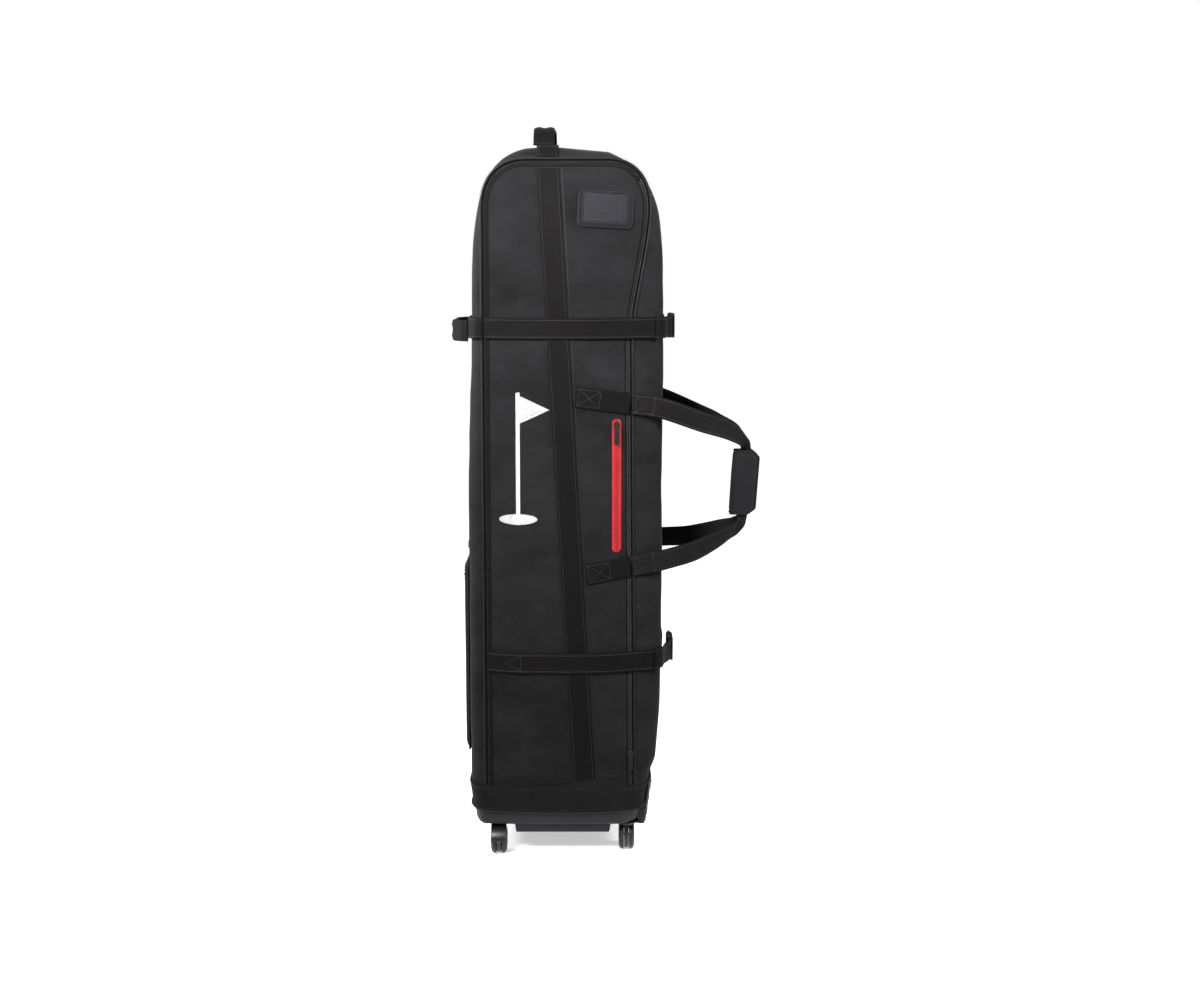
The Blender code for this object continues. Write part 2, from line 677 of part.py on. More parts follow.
def make_grip(name, side, mat, body):
    """C-shaped wrap, folded along its inner edge."""
    x0, x1 = GRIP_X
    y0, y1 = GRIP_Y
    wall = GRIP_WALL
    outline = [(x0, y1), (x1, y1), (x1, y1 - wall), (x0 + wall, y1 - wall),
               (x0 + wall, y0 + wall), (x1 - 0.008, y0 + wall), (x1 - 0.008, y0), (x0, y0)]

    def place(a, b, c):
        lean = GRIP_LEAN * (GRIP_Z[1] - c) / (GRIP_Z[1] - GRIP_Z[0])
        return Vector((a - lean, side * b, c))

    prism(name, outline, place, GRIP_Z[0], GRIP_Z[1], mat, body)


# ---------------------------------------------------------------- buckles
def make_female(name, z, mat, body):
    x0, x1 = BUCKLE_X
    mouth = -0.002
    root = -0.040
    end = -0.046
    outline = [(x0, end), (x1, end), (x1, mouth), (x1 - BUCKLE_PLATE, mouth), (x1 - BUCKLE_PLATE, root),
               (x0 + BUCKLE_PLATE, root), (x0 + BUCKLE_PLATE, mouth), (x0, mouth)]
    prism(name, outline, lambda a, b, c: Vector((a, b, c)),
          z - BUCKLE_HALF_WIDTH, z + BUCKLE_HALF_WIDTH, mat, body)


def make_male(name, z, mat, body):
    """Flat body with a guide tongue between two spring prongs."""
    half = BUCKLE_HALF_WIDTH
    tip = -0.0365               # end of the prongs
    barb = tip + 0.008
    fork = -0.006               # where the prongs leave the body
    waist = 0.001               # where the body widens outside the female part
    tongue = tip + 0.006
    body_end = 0.022
    upper = [(body_end, half), (waist, half), (waist, half - 0.004), (barb, half - 0.002),
             (tip, half - 0.007), (tip, half - 0.011), (fork, half - 0.009), (fork, 0.003), (tongue, 0.002)]
    outline = [(body_end, -half)] + upper + [(y, -h) for y, h in reversed(upper[1:])]
    low = BUCKLE_X[0] + BUCKLE_PLATE + GAP
    high = BUCKLE_X[1] - BUCKLE_PLATE - GAP
    prism(name, outline, lambda a, b, c: Vector((c, a, b + z)), low, high, mat, body)


# ---------------------------------------------------------------- details of the lid
POCKET_ZIP_X = 0.0175
POCKET_ZIP_Z = (0.5665, 0.806)
POCKET_ZIP_WIDTH = 0.017
ID_CENTRE = (-0.0020, 1.1740)
ID_CLEAR = (0.077, 0.050)
ID_BORDER = 0.0105


def rounded_loop(centre, size, radius, per_corner=4):
    """Rounded rectangle of (x, z), anticlockwise, with two more points on each straight side."""
    out = []
    for k, (sx, sz) in enumerate(((1, 1), (-1, 1), (-1, -1), (1, -1))):
        cx = centre[0] + sx * (size[0] / 2 - radius)
        cz = centre[1] + sz * (size[1] / 2 - radius)
        for a in steps(k * math.pi / 2, (k + 1) * math.pi / 2, per_corner):
            out.append((cx + radius * math.cos(a), cz + radius * math.sin(a)))
        straight = Vector(size) - 2 * Vector((radius, radius))
        run = straight.x if k % 2 == 0 else straight.y
        ahead = Vector((-sx, 0)) if k % 2 == 0 else Vector((0, -sz))
        for share in (1 / 3, 2 / 3):
            out.append(tuple(Vector(out[k * (per_corner + 2) + per_corner - 1]) + ahead * run * share))
    return out


def emblem_rows():
    """Golf flag as rows of (x, z): hole at the foot, stick, pennant at the top."""
    stick_x = -0.157
    stick_half = 0.0035
    low, high = 0.618, 0.852
    hole = (0.0340, 0.0095)
    pennant_z = 0.822
    pennant = (0.056, 0.026)
    rows = []
    heights = [low + hole[1] + hole[1] * math.sin(a) for a in steps(-1.45, 1.45, 9)]
    heights += [0.67, 0.73, pennant_z - pennant[1]]
    heights += steps(pennant_z - pennant[1], pennant_z + pennant[1], 9)[1:]
    heights.append(high)
    for z in heights:
        from_hole = (z - low - hole[1]) / hole[1]
        wide = hole[0] * math.sqrt(max(0.0, 1.0 - from_hole ** 2)) if abs(from_hole) < 1.0 else 0.0
        fly = pennant[0] * max(0.0, 1.0 - abs(z - pennant_z) / pennant[1])
        back = stick_x - max(stick_half, wide)
        front = stick_x + max(stick_half, wide, fly)
        rows.append([(x, z) for x in steps(back, front, 5)])
    return rows


def make_lid_details(mats, lid):
    centre, clear = ID_CENTRE, ID_CLEAR
    under = 0.003               # the window runs this far under its frame
    reach = [clear[0] / 2 + under, clear[1] / 2 + under]
    window_rows = [[(x, z) for x in steps(centre[0] - reach[0], centre[0] + reach[0], 5)]
                   for z in steps(centre[1] - reach[1], centre[1] + reach[1], 5)]
    side_patch("id_window", -1, window_rows, SEWN_LIFT, 0.0005, mats["window"], lid)
    hole = rounded_loop(centre, clear, 0.002)
    edge = rounded_loop(centre, (clear[0] + 2 * ID_BORDER, clear[1] + 2 * ID_BORDER), 0.010)
    side_patch("id_frame", -1, list(zip(hole, edge)), 0.0020, 0.0012, mats["webbing"], lid, closed=True)

    low, high = POCKET_ZIP_Z
    half = POCKET_ZIP_WIDTH / 2
    rows = []
    for z in ([low + half * (1 - math.cos(a)) for a in steps(0.35, math.pi / 2, 4)]
              + steps(low + 0.04, high - 0.04, 5)
              + [high - half * (1 - math.cos(a)) for a in steps(math.pi / 2, 0.35, 4)]):
        from_end = min(z - low, high - z, half)
        wide = math.sqrt(half ** 2 - (half - from_end) ** 2)
        rows.append([(POCKET_ZIP_X - wide, z), (POCKET_ZIP_X, z), (POCKET_ZIP_X + wide, z)])
    side_patch("pocket_zip_tape", -1, rows, SEWN_LIFT, 0.0014, mats["red"], lid)
    side_patch("emblem", -1, emblem_rows(), SEWN_LIFT, 0.0010, mats["thread"], lid)


def make_slider(name, x, y, z, mat, body):
    """Zip slider: a small lozenge with its bridge, outside the tape."""
    outline = [(-0.0055, 0.007), (0.0055, 0.007), (0.0040, -0.007), (-0.0040, -0.007)]
    prism(name, outline, lambda a, b, c: Vector((x + a, y - c, z + b)), 0.0, SLIDER_THICK, mat, body)


def make_puller(name, x, y, z, length, mat, body):
    outline = [(-0.0030, 0.0), (0.0030, 0.0), (0.0045, -length * 0.25), (0.0045, -length), (-0.0045, -length),
               (-0.0045, -length * 0.25)]
    half = PULLER_THICK / 2
    prism(name, outline, lambda a, b, c: Vector((x + a, y - c, z + b)), -half, half, mat, body)


def make_zip_runner(prefix, x, z, surface, length, mats, lid):
    """A slider on its own pivot, and its puller hinged on it."""
    face = -(surface + 0.0008)
    slide = pivot(f"{prefix}_slide_axis", (x, face, z), lid)
    make_slider(f"{prefix}_slider", x, face, z, mats["dark_metal"], slide)
    hinge_y = face - SLIDER_THICK - GAP - PULLER_THICK / 2
    hinge_z = z + 0.004
    swing = pivot(f"{prefix}_puller_axis", (x, hinge_y, hinge_z), slide)
    make_puller(f"{prefix}_puller", x, hinge_y, hinge_z, length, mats["buckle"], swing)


# ---------------------------------------------------------------- casters
def make_caster(tag, x, y, trail, mats):
    """Twin-wheel spinner. trail is signed: the wheels stand that far along Y from the kingpin."""
    swivel = pivot(f"{tag}_swivel", (x, y, SHELL_BOTTOM))
    hub = Vector((x, y + trail, WHEEL_RADIUS))
    lean = math.copysign(1.0, trail)
    hood_in = WHEEL_RADIUS + HOOD_GAP
    hood_out = hood_in + HOOD_WALL
    half_hood = WHEEL_INNER + WHEEL_WIDTH - 0.0005
    arc = steps(math.radians(HOOD_ARC[0]), math.radians(HOOD_ARC[1]), 9)
    outline = [(-lean * hood_out * math.cos(a), hood_out * math.sin(a)) for a in arc]
    outline += [(-lean * hood_in * math.cos(a), hood_in * math.sin(a)) for a in reversed(arc)]

    def place(a, b, c):
        return hub + Vector((c, a, b))

    fork = prism(f"{tag}_fork", outline, place, -half_hood, half_hood, mats["caster"])
    web_arc = steps(math.radians(HOOD_ARC[0]), math.radians(HOOD_ARC[1]), 7)
    web = [(-lean * (hood_in + 0.001) * math.cos(a), (hood_in + 0.001) * math.sin(a)) for a in web_arc]
    web += [(lean * 0.008, -0.007), (-lean * 0.006, -0.0085)]
    combine(fork, prism("web", web, place, -0.0042, 0.0042, mats["caster"]), "UNION")
    neck_low = Vector((x - 0.0042, y - 0.010, WHEEL_RADIUS + 0.010))
    neck_high = Vector((x + 0.0042, y + 0.010, SHELL_BOTTOM - 0.003))
    combine(fork, box("neck", neck_low, neck_high, mats["caster"]), "UNION")
    stem_points = [(STEM_RADIUS * math.cos(a), STEM_RADIUS * math.sin(a))
                   for a in steps(0, 2 * math.pi, 17)[:-1]]
    stem = prism("stem", stem_points, lambda a, b, c: Vector((x + a, y + b, c)), WHEEL_RADIUS * 2 + 0.0015,
                 SHELL_BOTTOM - GAP, mats["caster"])
    combine(fork, stem, "UNION")
    combine(fork, rod("bore", hub, 0.02, AXLE_RADIUS + 0.0003, mats["caster"]), "DIFFERENCE")
    fork.data.transform(Matrix.Translation(-Vector(swivel["world"])))
    fork.parent = swivel

    spin = pivot(f"{tag}_axle_line", hub, swivel)
    for name, side in (("back", -1), ("front", 1)):
        inner = WHEEL_INNER
        outer = WHEEL_INNER + WHEEL_WIDTH
        edge = 0.0018
        bore_r = AXLE_RADIUS + 0.0002
        profile = [(side * inner, bore_r), (side * inner, WHEEL_RADIUS - edge),
                   (side * (inner + edge), WHEEL_RADIUS), (side * (outer - edge), WHEEL_RADIUS),
                   (side * outer, WHEEL_RADIUS - edge),
                   (side * (outer - 0.0015), 0.010), (side * (outer - 0.0015), bore_r)]
        turned(f"{tag}_wheel_{name}", profile, hub, mats["wheel"], spin)
    rod(f"{tag}_axle", hub, WHEEL_INNER + WHEEL_WIDTH - 0.0020, AXLE_RADIUS, mats["steel"], spin)


# ---------------------------------------------------------------- assembly
def main():
    remove_everything()
    mats = {
        "fabric": material("fabric", (0.022, 0.022, 0.024), 0.85),
        "webbing": material("webbing", (0.014, 0.013, 0.013), 0.80),
        "piping": material("piping", (0.010, 0.010, 0.011), 0.55),
        "foam": material("foam", (0.10, 0.10, 0.11), 0.95),
        "plastic": material("base_plastic", (0.030, 0.029, 0.035), 0.50),
        "board": material("board", (0.05, 0.05, 0.05), 0.90),
        "buckle": material("buckle_plastic", (0.008, 0.008, 0.008), 0.38),
        "red": material("red_tape", (0.80, 0.035, 0.045), 0.60),
        "window": material("clear_window", (0.30, 0.30, 0.36), 0.15, alpha=0.5),
        "thread": material("thread", (0.85, 0.85, 0.85), 0.60),
        "dark_metal": material("dark_metal", (0.02, 0.02, 0.02), 0.35, metallic=1.0),
        "caster": material("caster_plastic", (0.015, 0.015, 0.016), 0.40),
        "wheel": material("wheel_rubber", (0.012, 0.012, 0.012), 0.55),
        "steel": material("axle_steel", (0.60, 0.60, 0.60), 0.25, metallic=1.0),
    }
    lid = pivot("lid_hinge", LID_HINGE)

    make_body(mats["fabric"], mats["foam"])
    make_sides(mats["fabric"], mats["piping"], mats["piping"], lid)
    make_base(mats["plastic"], mats["board"], mats["fabric"])
    pocket = [(CASE_BACK - GAP, 0.185), (CASE_BACK - 0.0095, 0.203), (CASE_BACK - 0.0095, 0.531),
              (CASE_BACK - GAP, 0.539)]
    prism("back_pocket", pocket, lambda a, b, c: Vector((a, c, b)), -0.090, 0.090, mats["fabric"])

    make_straps(mats["webbing"], lid)
    make_upright("webbing_near", -1, mats["webbing"], lid)
    make_upright("webbing_far", 1, mats["webbing"])
    make_grab_handle("top_handle", (-0.1106, 0, CASE_TOP), (0, 0, 1), (1, 0, 0), TOTAL_HEIGHT - CASE_TOP,
                     GAP * 2, mats["webbing"])
    back_handle_z = STRAP_UPPER_Z - 0.007
    wall_x = back_x(back_handle_z)
    make_grab_handle("back_handle", (wall_x, 0, back_handle_z), (-1, 0, 0), (0, 0, 1),
                     HALF_LENGTH + wall_x, STRAP_LIFT + WEB_THICK + GAP, mats["webbing"])

    for level, ends in ANCHORS.items():
        make_anchor(f"anchor_{level}_near", -1, ends, mats["webbing"], lid)
        make_anchor(f"anchor_{level}_far", 1, ends, mats["webbing"])
    for tag, side, parent in (("near", -1, lid), ("far", 1, None)):
        hinge = (CARRY_HINGE[0], side * CARRY_HINGE[1], CARRY_HINGE[2])
        swing = pivot(f"carry_{tag}_hinge", hinge, parent)
        make_carry_loop(f"carry_loop_{tag}", side, mats["webbing"], swing)
        make_grip(f"grip_{tag}", side, mats["webbing"], swing)

    for level, z in (("upper", STRAP_UPPER_Z), ("lower", STRAP_LOWER_Z)):
        make_female(f"buckle_female_{level}", z, mats["buckle"], lid)
        slide = pivot(f"buckle_{level}_slide", (BUCKLE_X[0], 0.0, z))
        make_male(f"buckle_male_{level}", z, mats["buckle"], slide)

    make_lid_details(mats, lid)
    zip_x = seam_front_x(0.195) - ZIP_INSET - GAP
    make_zip_runner("main", zip_x, 0.195, side_y(zip_x, 0.185), 0.034, mats, lid)
    pocket_face = side_y(POCKET_ZIP_X - 0.008, 0.60) + 0.0019
    make_zip_runner("pocket", POCKET_ZIP_X, 0.794, pocket_face, 0.038, mats, lid)

    for end, x, trail in (("back", CASTER_X[0], -CASTER_TRAIL), ("front", CASTER_X[1], CASTER_TRAIL)):
        for tag, side in (("near", -1), ("far", 1)):
            make_caster(f"caster_{end}_{tag}", x, side * CASTER_HALF_TRACK, trail, mats)


main()
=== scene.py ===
"""Looks of the golf travel case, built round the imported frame.

Metres, +Z up, +X the front of the case, -Y the side that opens as a lid.
"""
import json
import math

import bmesh
import bpy
from mathutils import Matrix, Vector, noise


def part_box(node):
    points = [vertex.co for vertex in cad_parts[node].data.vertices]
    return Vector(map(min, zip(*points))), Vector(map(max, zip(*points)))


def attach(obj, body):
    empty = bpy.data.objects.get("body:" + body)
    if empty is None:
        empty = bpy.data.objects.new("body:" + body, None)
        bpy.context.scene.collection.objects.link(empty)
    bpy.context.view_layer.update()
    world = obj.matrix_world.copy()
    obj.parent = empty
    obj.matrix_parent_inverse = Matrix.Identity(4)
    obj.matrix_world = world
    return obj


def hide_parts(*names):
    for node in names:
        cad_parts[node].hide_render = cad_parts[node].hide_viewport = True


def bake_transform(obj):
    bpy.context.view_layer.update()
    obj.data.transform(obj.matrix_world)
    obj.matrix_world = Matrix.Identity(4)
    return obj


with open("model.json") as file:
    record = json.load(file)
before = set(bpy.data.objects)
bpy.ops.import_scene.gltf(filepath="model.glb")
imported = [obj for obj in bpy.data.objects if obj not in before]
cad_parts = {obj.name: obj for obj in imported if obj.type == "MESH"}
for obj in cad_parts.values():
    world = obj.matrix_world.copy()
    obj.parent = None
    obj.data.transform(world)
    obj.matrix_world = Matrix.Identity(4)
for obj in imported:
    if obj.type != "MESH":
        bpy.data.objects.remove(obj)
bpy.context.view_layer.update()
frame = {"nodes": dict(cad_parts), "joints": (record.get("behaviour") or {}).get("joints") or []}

# ---------------------------------------------------------------- the frame's places
CASE_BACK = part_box("gusset_back")[0].x
CASE_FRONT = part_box("gusset_front")[1].x
CASE_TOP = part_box("gusset_top")[1].z
SEAM_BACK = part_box("gusset_back")[1].x
SEAM_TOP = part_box("piping_far")[1].z - 0.0024
LID_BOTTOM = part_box("lid_panel")[0].z
BAND_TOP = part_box("skirt_band")[1].z
BAND_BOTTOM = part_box("skirt_band")[0].z
JOINTS = {joint["name"]: joint for joint in frame["joints"]}
STRAP_Z = {level: (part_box(f"strap_{level}_near")[0].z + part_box(f"strap_{level}_near")[1].z) / 2
           for level in ("upper", "lower")}

# ---------------------------------------------------------------- shape of the case
CROWN_X = -0.10             # where the body is highest
BODY_MIDDLE_X = -0.08
FLAT_HALF = 0.095           # half width of the flat part of back, top and front
BACK_SHOULDER_Z = 1.00
FRONT_SHOULDER_Z = 1.05
SHOULDER_POWER = 3.0
SEAM_FRONT_LOW = 0.051
SEAM_FRONT_MID = 0.045
SEAM_FRONT_HIGH = 0.077
SEAM_SHOULDER_Z = 1.17
SEAM_SWING = (0.93, 1.19)   # heights between which the front seam swings forward
SEAM_ARCH_BACK = 0.080
SEAM_ARCH_FRONT = 0.077
SEAM_POWER = 2.3
SEAM_HALF_WIDTH = 0.137
SEAM_HALF_WIDTH_LOW = 0.148
BULGE = 0.028
BULGE_LOW = 0.004
BACK_LEAN = 0.009           # the back draws in towards its shoulder
FRONT_LEAN = 0.0095         # the front draws in a little over its lower third,
FRONT_LEAN_Z = (0.175, 0.42)
FRONT_STEP = 0.0125         # then in a step above the kick plate,
FRONT_STEP_Z = (0.142, 0.182)
FRONT_TOE = 0.0110          # and on down to the base
SHELL_BOTTOM = 0.060
HEM_RISE = 0.006
KEEL_X = (-0.180, 0.020)
KEEL_HALF_WIDTH = 0.134
KEEL_NOTCH = 0.0415         # radius of the recess round each caster
CASTER_X = (-0.1976, 0.0370)
CASTER_HALF_TRACK = 0.105
CASTER_TRAIL = 0.012

WEB_WIDTH = 0.038
WEB_THICK = 0.0018
SEWN_LIFT = 0.0006
STRAP_LIFT = 0.0032
UPRIGHT_X = (-0.103, -0.040)     # middle of the upright webbing at its top and at its foot
UPRIGHT_END = 0.0035        # it stops this far under its panel's edge
FAR_STRAP_END = 0.010       # the far straps end this far from the middle of the front
ZIP_WIDTH = 0.0066          # of one half of the main zip
LID_INSET = 2 * ZIP_WIDTH + 0.0006      # edge of the lid's cloth, inside both halves of the zip
FAR_INSET = 0.0004
FABRIC = 0.0024
PANEL_COLUMNS = 56


def lerp(a, b, t):
    """The value between a and b at share t."""
    return a + (b - a) * t


def ease(t):
    """Smooth step from 0 to 1."""
    t = min(1.0, max(0.0, t))
    return t * t * (3.0 - 2.0 * t)


def steps(low, high, count):
    """Evenly spaced values from low to high."""
    return [lerp(low, high, i / (count - 1)) for i in range(count)]


def arch_fraction(z, top):
    """How wide the seam's arch is at a height, as a share of its full width."""
    if z <= SEAM_SHOULDER_Z:
        return 1.0
    rise = min(1.0, (z - SEAM_SHOULDER_Z) / (top - SEAM_SHOULDER_Z))
    return (1.0 - rise ** SEAM_POWER) ** (1.0 / SEAM_POWER)


def seam_back_x(z, inset=0.0):
    """Where the seam runs at the back of a side, drawn in by inset."""
    middle = SEAM_BACK + SEAM_ARCH_BACK
    return middle - (SEAM_ARCH_BACK - inset) * arch_fraction(z, SEAM_TOP - inset)


def seam_front_x(z, inset=0.0):
    """Where the seam runs at the front of a side, drawn in by inset."""
    if z > SEAM_SHOULDER_Z:
        middle = SEAM_FRONT_HIGH - SEAM_ARCH_FRONT
        return middle + (SEAM_ARCH_FRONT - inset) * arch_fraction(z, SEAM_TOP - inset)
    low, high = SEAM_SWING
    straight = lerp(SEAM_FRONT_LOW, SEAM_FRONT_MID, min(1.0, (z - LID_BOTTOM) / (low - LID_BOTTOM)))
    swing = ease((z - low) / (high - low)) / ease((SEAM_SHOULDER_Z - low) / (high - low))
    return lerp(straight, SEAM_FRONT_HIGH, swing) - inset


def back_x(z):
    """Where the back face of the body is at a height."""
    skirt = 0.004 * ease((BAND_TOP - z) / (BAND_TOP - BAND_BOTTOM))
    return CASE_BACK + BACK_LEAN * ease((z - 0.60) / (BACK_SHOULDER_Z - 0.60)) + skirt


def front_x(z):
    """Where the front face of the body is at a height."""
    low, high = FRONT_LEAN_Z
    lean = FRONT_LEAN * min(1.0, max(0.0, (high - z) / (high - low))) ** 1.3
    low, high = FRONT_STEP_Z
    step = FRONT_STEP * ease((high - z) / (high - low))
    toe = FRONT_TOE * max(0.0, (low - z) / (low - SHELL_BOTTOM))
    return CASE_FRONT - lean - step - toe


def seam_half_width(z):
    """Distance of the seam from the middle plane."""
    return lerp(SEAM_HALF_WIDTH_LOW, SEAM_HALF_WIDTH, ease((z - LID_BOTTOM) / 0.25))


def side_y(x, z):
    """Half width of the body at a point of its side, with the cloth taut."""
    back = seam_back_x(z)
    front = seam_front_x(z)
    across = abs(2.0 * (x - back) / (front - back) - 1.0)
    crown = 1.0 - min(1.0, across) ** 3
    from_top = min(1.0, max(0.0, (SEAM_TOP - z) / 0.22))
    height = lerp(BULGE_LOW, BULGE, ease((z - LID_BOTTOM) / 0.25)) * (1.0 - (1.0 - from_top) ** 3)
    return seam_half_width(z) + crown * height


def dent(side, x, z):
    """How far slack, seams and cinched straps move the side's cloth in or out."""
    edge = max(0.0, min(x - seam_back_x(z), seam_front_x(z) - x, SEAM_TOP - z, (z - LID_BOTTOM) * 2.0))
    hold = ease(edge / 0.035)
    seed = 3.1 * side
    out = 0.0034 * noise.noise(Vector((x * 8.0, z * 3.4, seed)))
    out += 0.0013 * noise.noise(Vector((x * 24.0 + z * 9.0, z * 11.0 - x * 7.0, seed + 4.0)))
    for strap in STRAP_Z.values():
        out -= 0.0024 * math.exp(-((z - strap) / 0.030) ** 2)
    pull = math.sin(z * 2 * math.pi / 0.021 + 4.0 * noise.noise(Vector((z * 14.0, x * 3.0, seed))))
    pucker = 0.0007 * pull * math.exp(-edge / 0.012) * ease(edge / 0.006)
    return out * hold + pucker


def on_side(side, x, z, lift=0.0):
    """Point of a side's cloth, or lift over it; side is -1 near and 1 far."""
    return Vector((x, side * (side_y(x, z) + dent(side, x, z) + lift), z))


# ---------------------------------------------------------------- mesh helpers
class Shape:
    """Vertices and faces gathered from several simple shapes, then made one mesh."""

    def __init__(self):
        self.vertices = []
        self.faces = []
        self.slots = []

    def add(self, vertices, faces, slot=0):
        """Adds a simple shape in the material slot."""
        base = len(self.vertices)
        self.vertices += [Vector(v) for v in vertices]
        self.faces += [[base + i for i in face] for face in faces]
        self.slots += [slot] * len(faces)
        return self

    def add_plate(self, outline, place, low, high, width, segments=2, slot=0, angle=35.0):
        """Adds a prism with its sharp edges rounded to width."""
        return self.add(*bevelled(prism(outline, place, low, high), width, segments, angle), slot)

    def make(self, name, mats, body=None, nodes=(), slot=None, angle=40.0, outward=True):
        """Makes the mesh, and gives the frame its body and the nodes it replaces. slot is not used."""
        mesh = bpy.data.meshes.new(name)
        mesh.from_pydata([tuple(v) for v in self.vertices], [], self.faces)
        for mat in mats:
            mesh.materials.append(mat)
        for face, index in zip(mesh.polygons, self.slots):
            face.material_index = index
        if outward:
            tool = bmesh.new()
            tool.from_mesh(mesh)
            bmesh.ops.recalc_face_normals(tool, faces=tool.faces)
            tool.to_mesh(mesh)
            tool.free()
        mesh.shade_smooth()
        mesh.set_sharp_from_angle(angle=math.radians(angle))
        obj = bpy.data.objects.new(name, mesh)
        bpy.context.scene.collection.objects.link(obj)
        if body:
            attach(obj, body)
        if nodes:
            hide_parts(*nodes)
        return obj


def grid_faces(rows, cols, closed=False):
    """Faces of a grid of points; closed joins its last row to its first."""
    faces = []
    for i in range(rows if closed else rows - 1):
        for j in range(cols - 1):
            a = i * cols + j
            b = ((i + 1) % rows) * cols + j
            faces.append((a, b, b + 1, a + 1))
    return faces


def slab(outer, inner, closed=False):
    """Closed shape between two grids of points, as vertices and faces."""
    rows = len(outer)
    cols = len(outer[0])
    size = rows * cols
    vertices = [p for grid in (outer, inner) for row in grid for p in row]
    faces = grid_faces(rows, cols, closed)
    faces += [[size + i for i in reversed(face)] for face in grid_faces(rows, cols, closed)]
    for i in range(rows if closed else rows - 1):
        here = i * cols
        after = ((i + 1) % rows) * cols
        faces.append((here, after, size + after, size + here))
        faces.append((after + cols - 1, here + cols - 1, size + here + cols - 1, size + after + cols - 1))
    if not closed:
        last = (rows - 1) * cols
        for j in range(cols - 1):
            faces.append((j + 1, j, size + j, size + j + 1))
            faces.append((last + j, last + j + 1, size + last + j + 1, size + last + j))
    return vertices, faces


def tube(points, radius, sides, closed=False):
    """Round cord through points."""
    count = len(points)
    vertices = []
    normal = None
    for i, point in enumerate(points):
        before = points[(i - 1) % count] if closed else points[max(i - 1, 0)]
        after = points[(i + 1) % count] if closed else points[min(i + 1, count - 1)]
        ahead = (after - before).normalized()
        if normal is None:
            normal = ahead.orthogonal().normalized()
        normal = (normal - ahead * normal.dot(ahead)).normalized()
        other = ahead.cross(normal)
        for k in range(sides):
            a = 2 * math.pi * k / sides
            vertices.append(point + (normal * math.cos(a) + other * math.sin(a)) * radius)
    faces = []
    for i in range(count if closed else count - 1):
        for k in range(sides):
            a = i * sides + k
            b = i * sides + (k + 1) % sides
            c = ((i + 1) % count) * sides
            faces.append((a, b, c + (k + 1) % sides, c + k))
    if not closed:
        faces.append(tuple(reversed(range(sides))))
        faces.append(tuple(range((count - 1) * sides, count * sides)))
    return vertices, faces


def along(points, step):
    """Points at even steps along a polyline, with the direction there."""
    out = []
    carried = 0.0
    for a, b in zip(points, points[1:]):
        span = (b - a).length
        while carried <= span and span > 0:
            out.append((a.lerp(b, carried / span), (b - a).normalized()))
            carried += step
        carried -= span
    return out


def stitches(shape, points, slot=0, length=0.0030, pitch=0.0044, radius=0.00040):
    """Row of sewn stitches along a polyline, each a short spindle."""
    for middle, ahead in along(points, pitch):
        normal = ahead.orthogonal().normalized()
        other = ahead.cross(normal)
        vertices = [middle - ahead * length / 2]
        for share in (-0.30, 0.30):
            for k in range(5):
                a = 2 * math.pi * k / 5
                vertices.append(middle + ahead * length * share
                                + (normal * math.cos(a) + other * math.sin(a)) * radius * 0.85)
        vertices.append(middle + ahead * length / 2)
        faces = [(0, 1 + (k + 1) % 5, 1 + k) for k in range(5)]
        faces += [(1 + k, 1 + (k + 1) % 5, 6 + (k + 1) % 5, 6 + k) for k in range(5)]
        faces += [(6 + k, 6 + (k + 1) % 5, 11) for k in range(5)]
        shape.add(vertices, faces, slot)


def mirrored(side):
    """Closed outline from its half with one sign of b."""
    return side + [(a, -b) for a, b in reversed(side)]


def bar(a, b, half_a, half_b):
    """Rectangular outline about (a, b)."""
    return [(a + sa * half_a, b + sb * half_b) for sa, sb in ((-1, -1), (1, -1), (1, 1), (-1, 1))]


def rim_of(rows):
    """Points round the edge of a grid."""
    return ([row[0] for row in rows] + rows[-1][1:] + [row[-1] for row in reversed(rows[:-1])]
            + list(reversed(rows[0][1:-1])))


def prism(outline, place, low, high):
    """Outline of (a, b) pairs extruded in c; place(a, b, c) gives the point."""
    count = len(outline)
    vertices = [Vector(place(a, b, c)) for c in (low, high) for a, b in outline]
    faces = [tuple(range(count)), tuple(range(count, 2 * count))]
    for i in range(count):
        j = (i + 1) % count
        faces.append((i, j, j + count, i + count))
    return vertices, faces


def bevelled(shape, width, segments, angle):
    """The shape with its sharp edges rounded, as vertices and faces."""
    vertices, faces = shape
    tool = bmesh.new()
    made = [tool.verts.new(v) for v in vertices]
    for face in faces:
        tool.faces.new([made[i] for i in face])
    bmesh.ops.recalc_face_normals(tool, faces=tool.faces)
    sharp = [e for e in tool.edges if e.is_manifold and e.calc_face_angle() > math.radians(angle)]
    bmesh.ops.bevel(tool, geom=sharp, offset=width, segments=segments, profile=0.6, affect="EDGES",
                    clamp_overlap=True)
    tool.verts.index_update()
    out = [v.co.copy() for v in tool.verts], [[v.index for v in f.verts] for f in tool.faces]
    tool.free()
    return out


def turned(profile, centre, axis, facets):
    """Ring turned about axis X or Z through centre. profile is a closed loop of (along, radius)."""
    centre = Vector(centre)
    vertices = []
    for k in range(facets):
        a = 2 * math.pi * k / facets
        for along_axis, r in profile:
            if axis == "X":
                vertices.append(centre + Vector((along_axis, r * math.cos(a), r * math.sin(a))))
            else:
                vertices.append(centre + Vector((r * math.cos(a), r * math.sin(a), along_axis)))
    count = len(profile)
    faces = []
    for k in range(facets):
        for i in range(count):
            a = k * count + i
            b = k * count + (i + 1) % count
            step = ((k + 1) % facets - k) * count
            faces.append((a, b, b + step, a + step))
    return vertices, faces


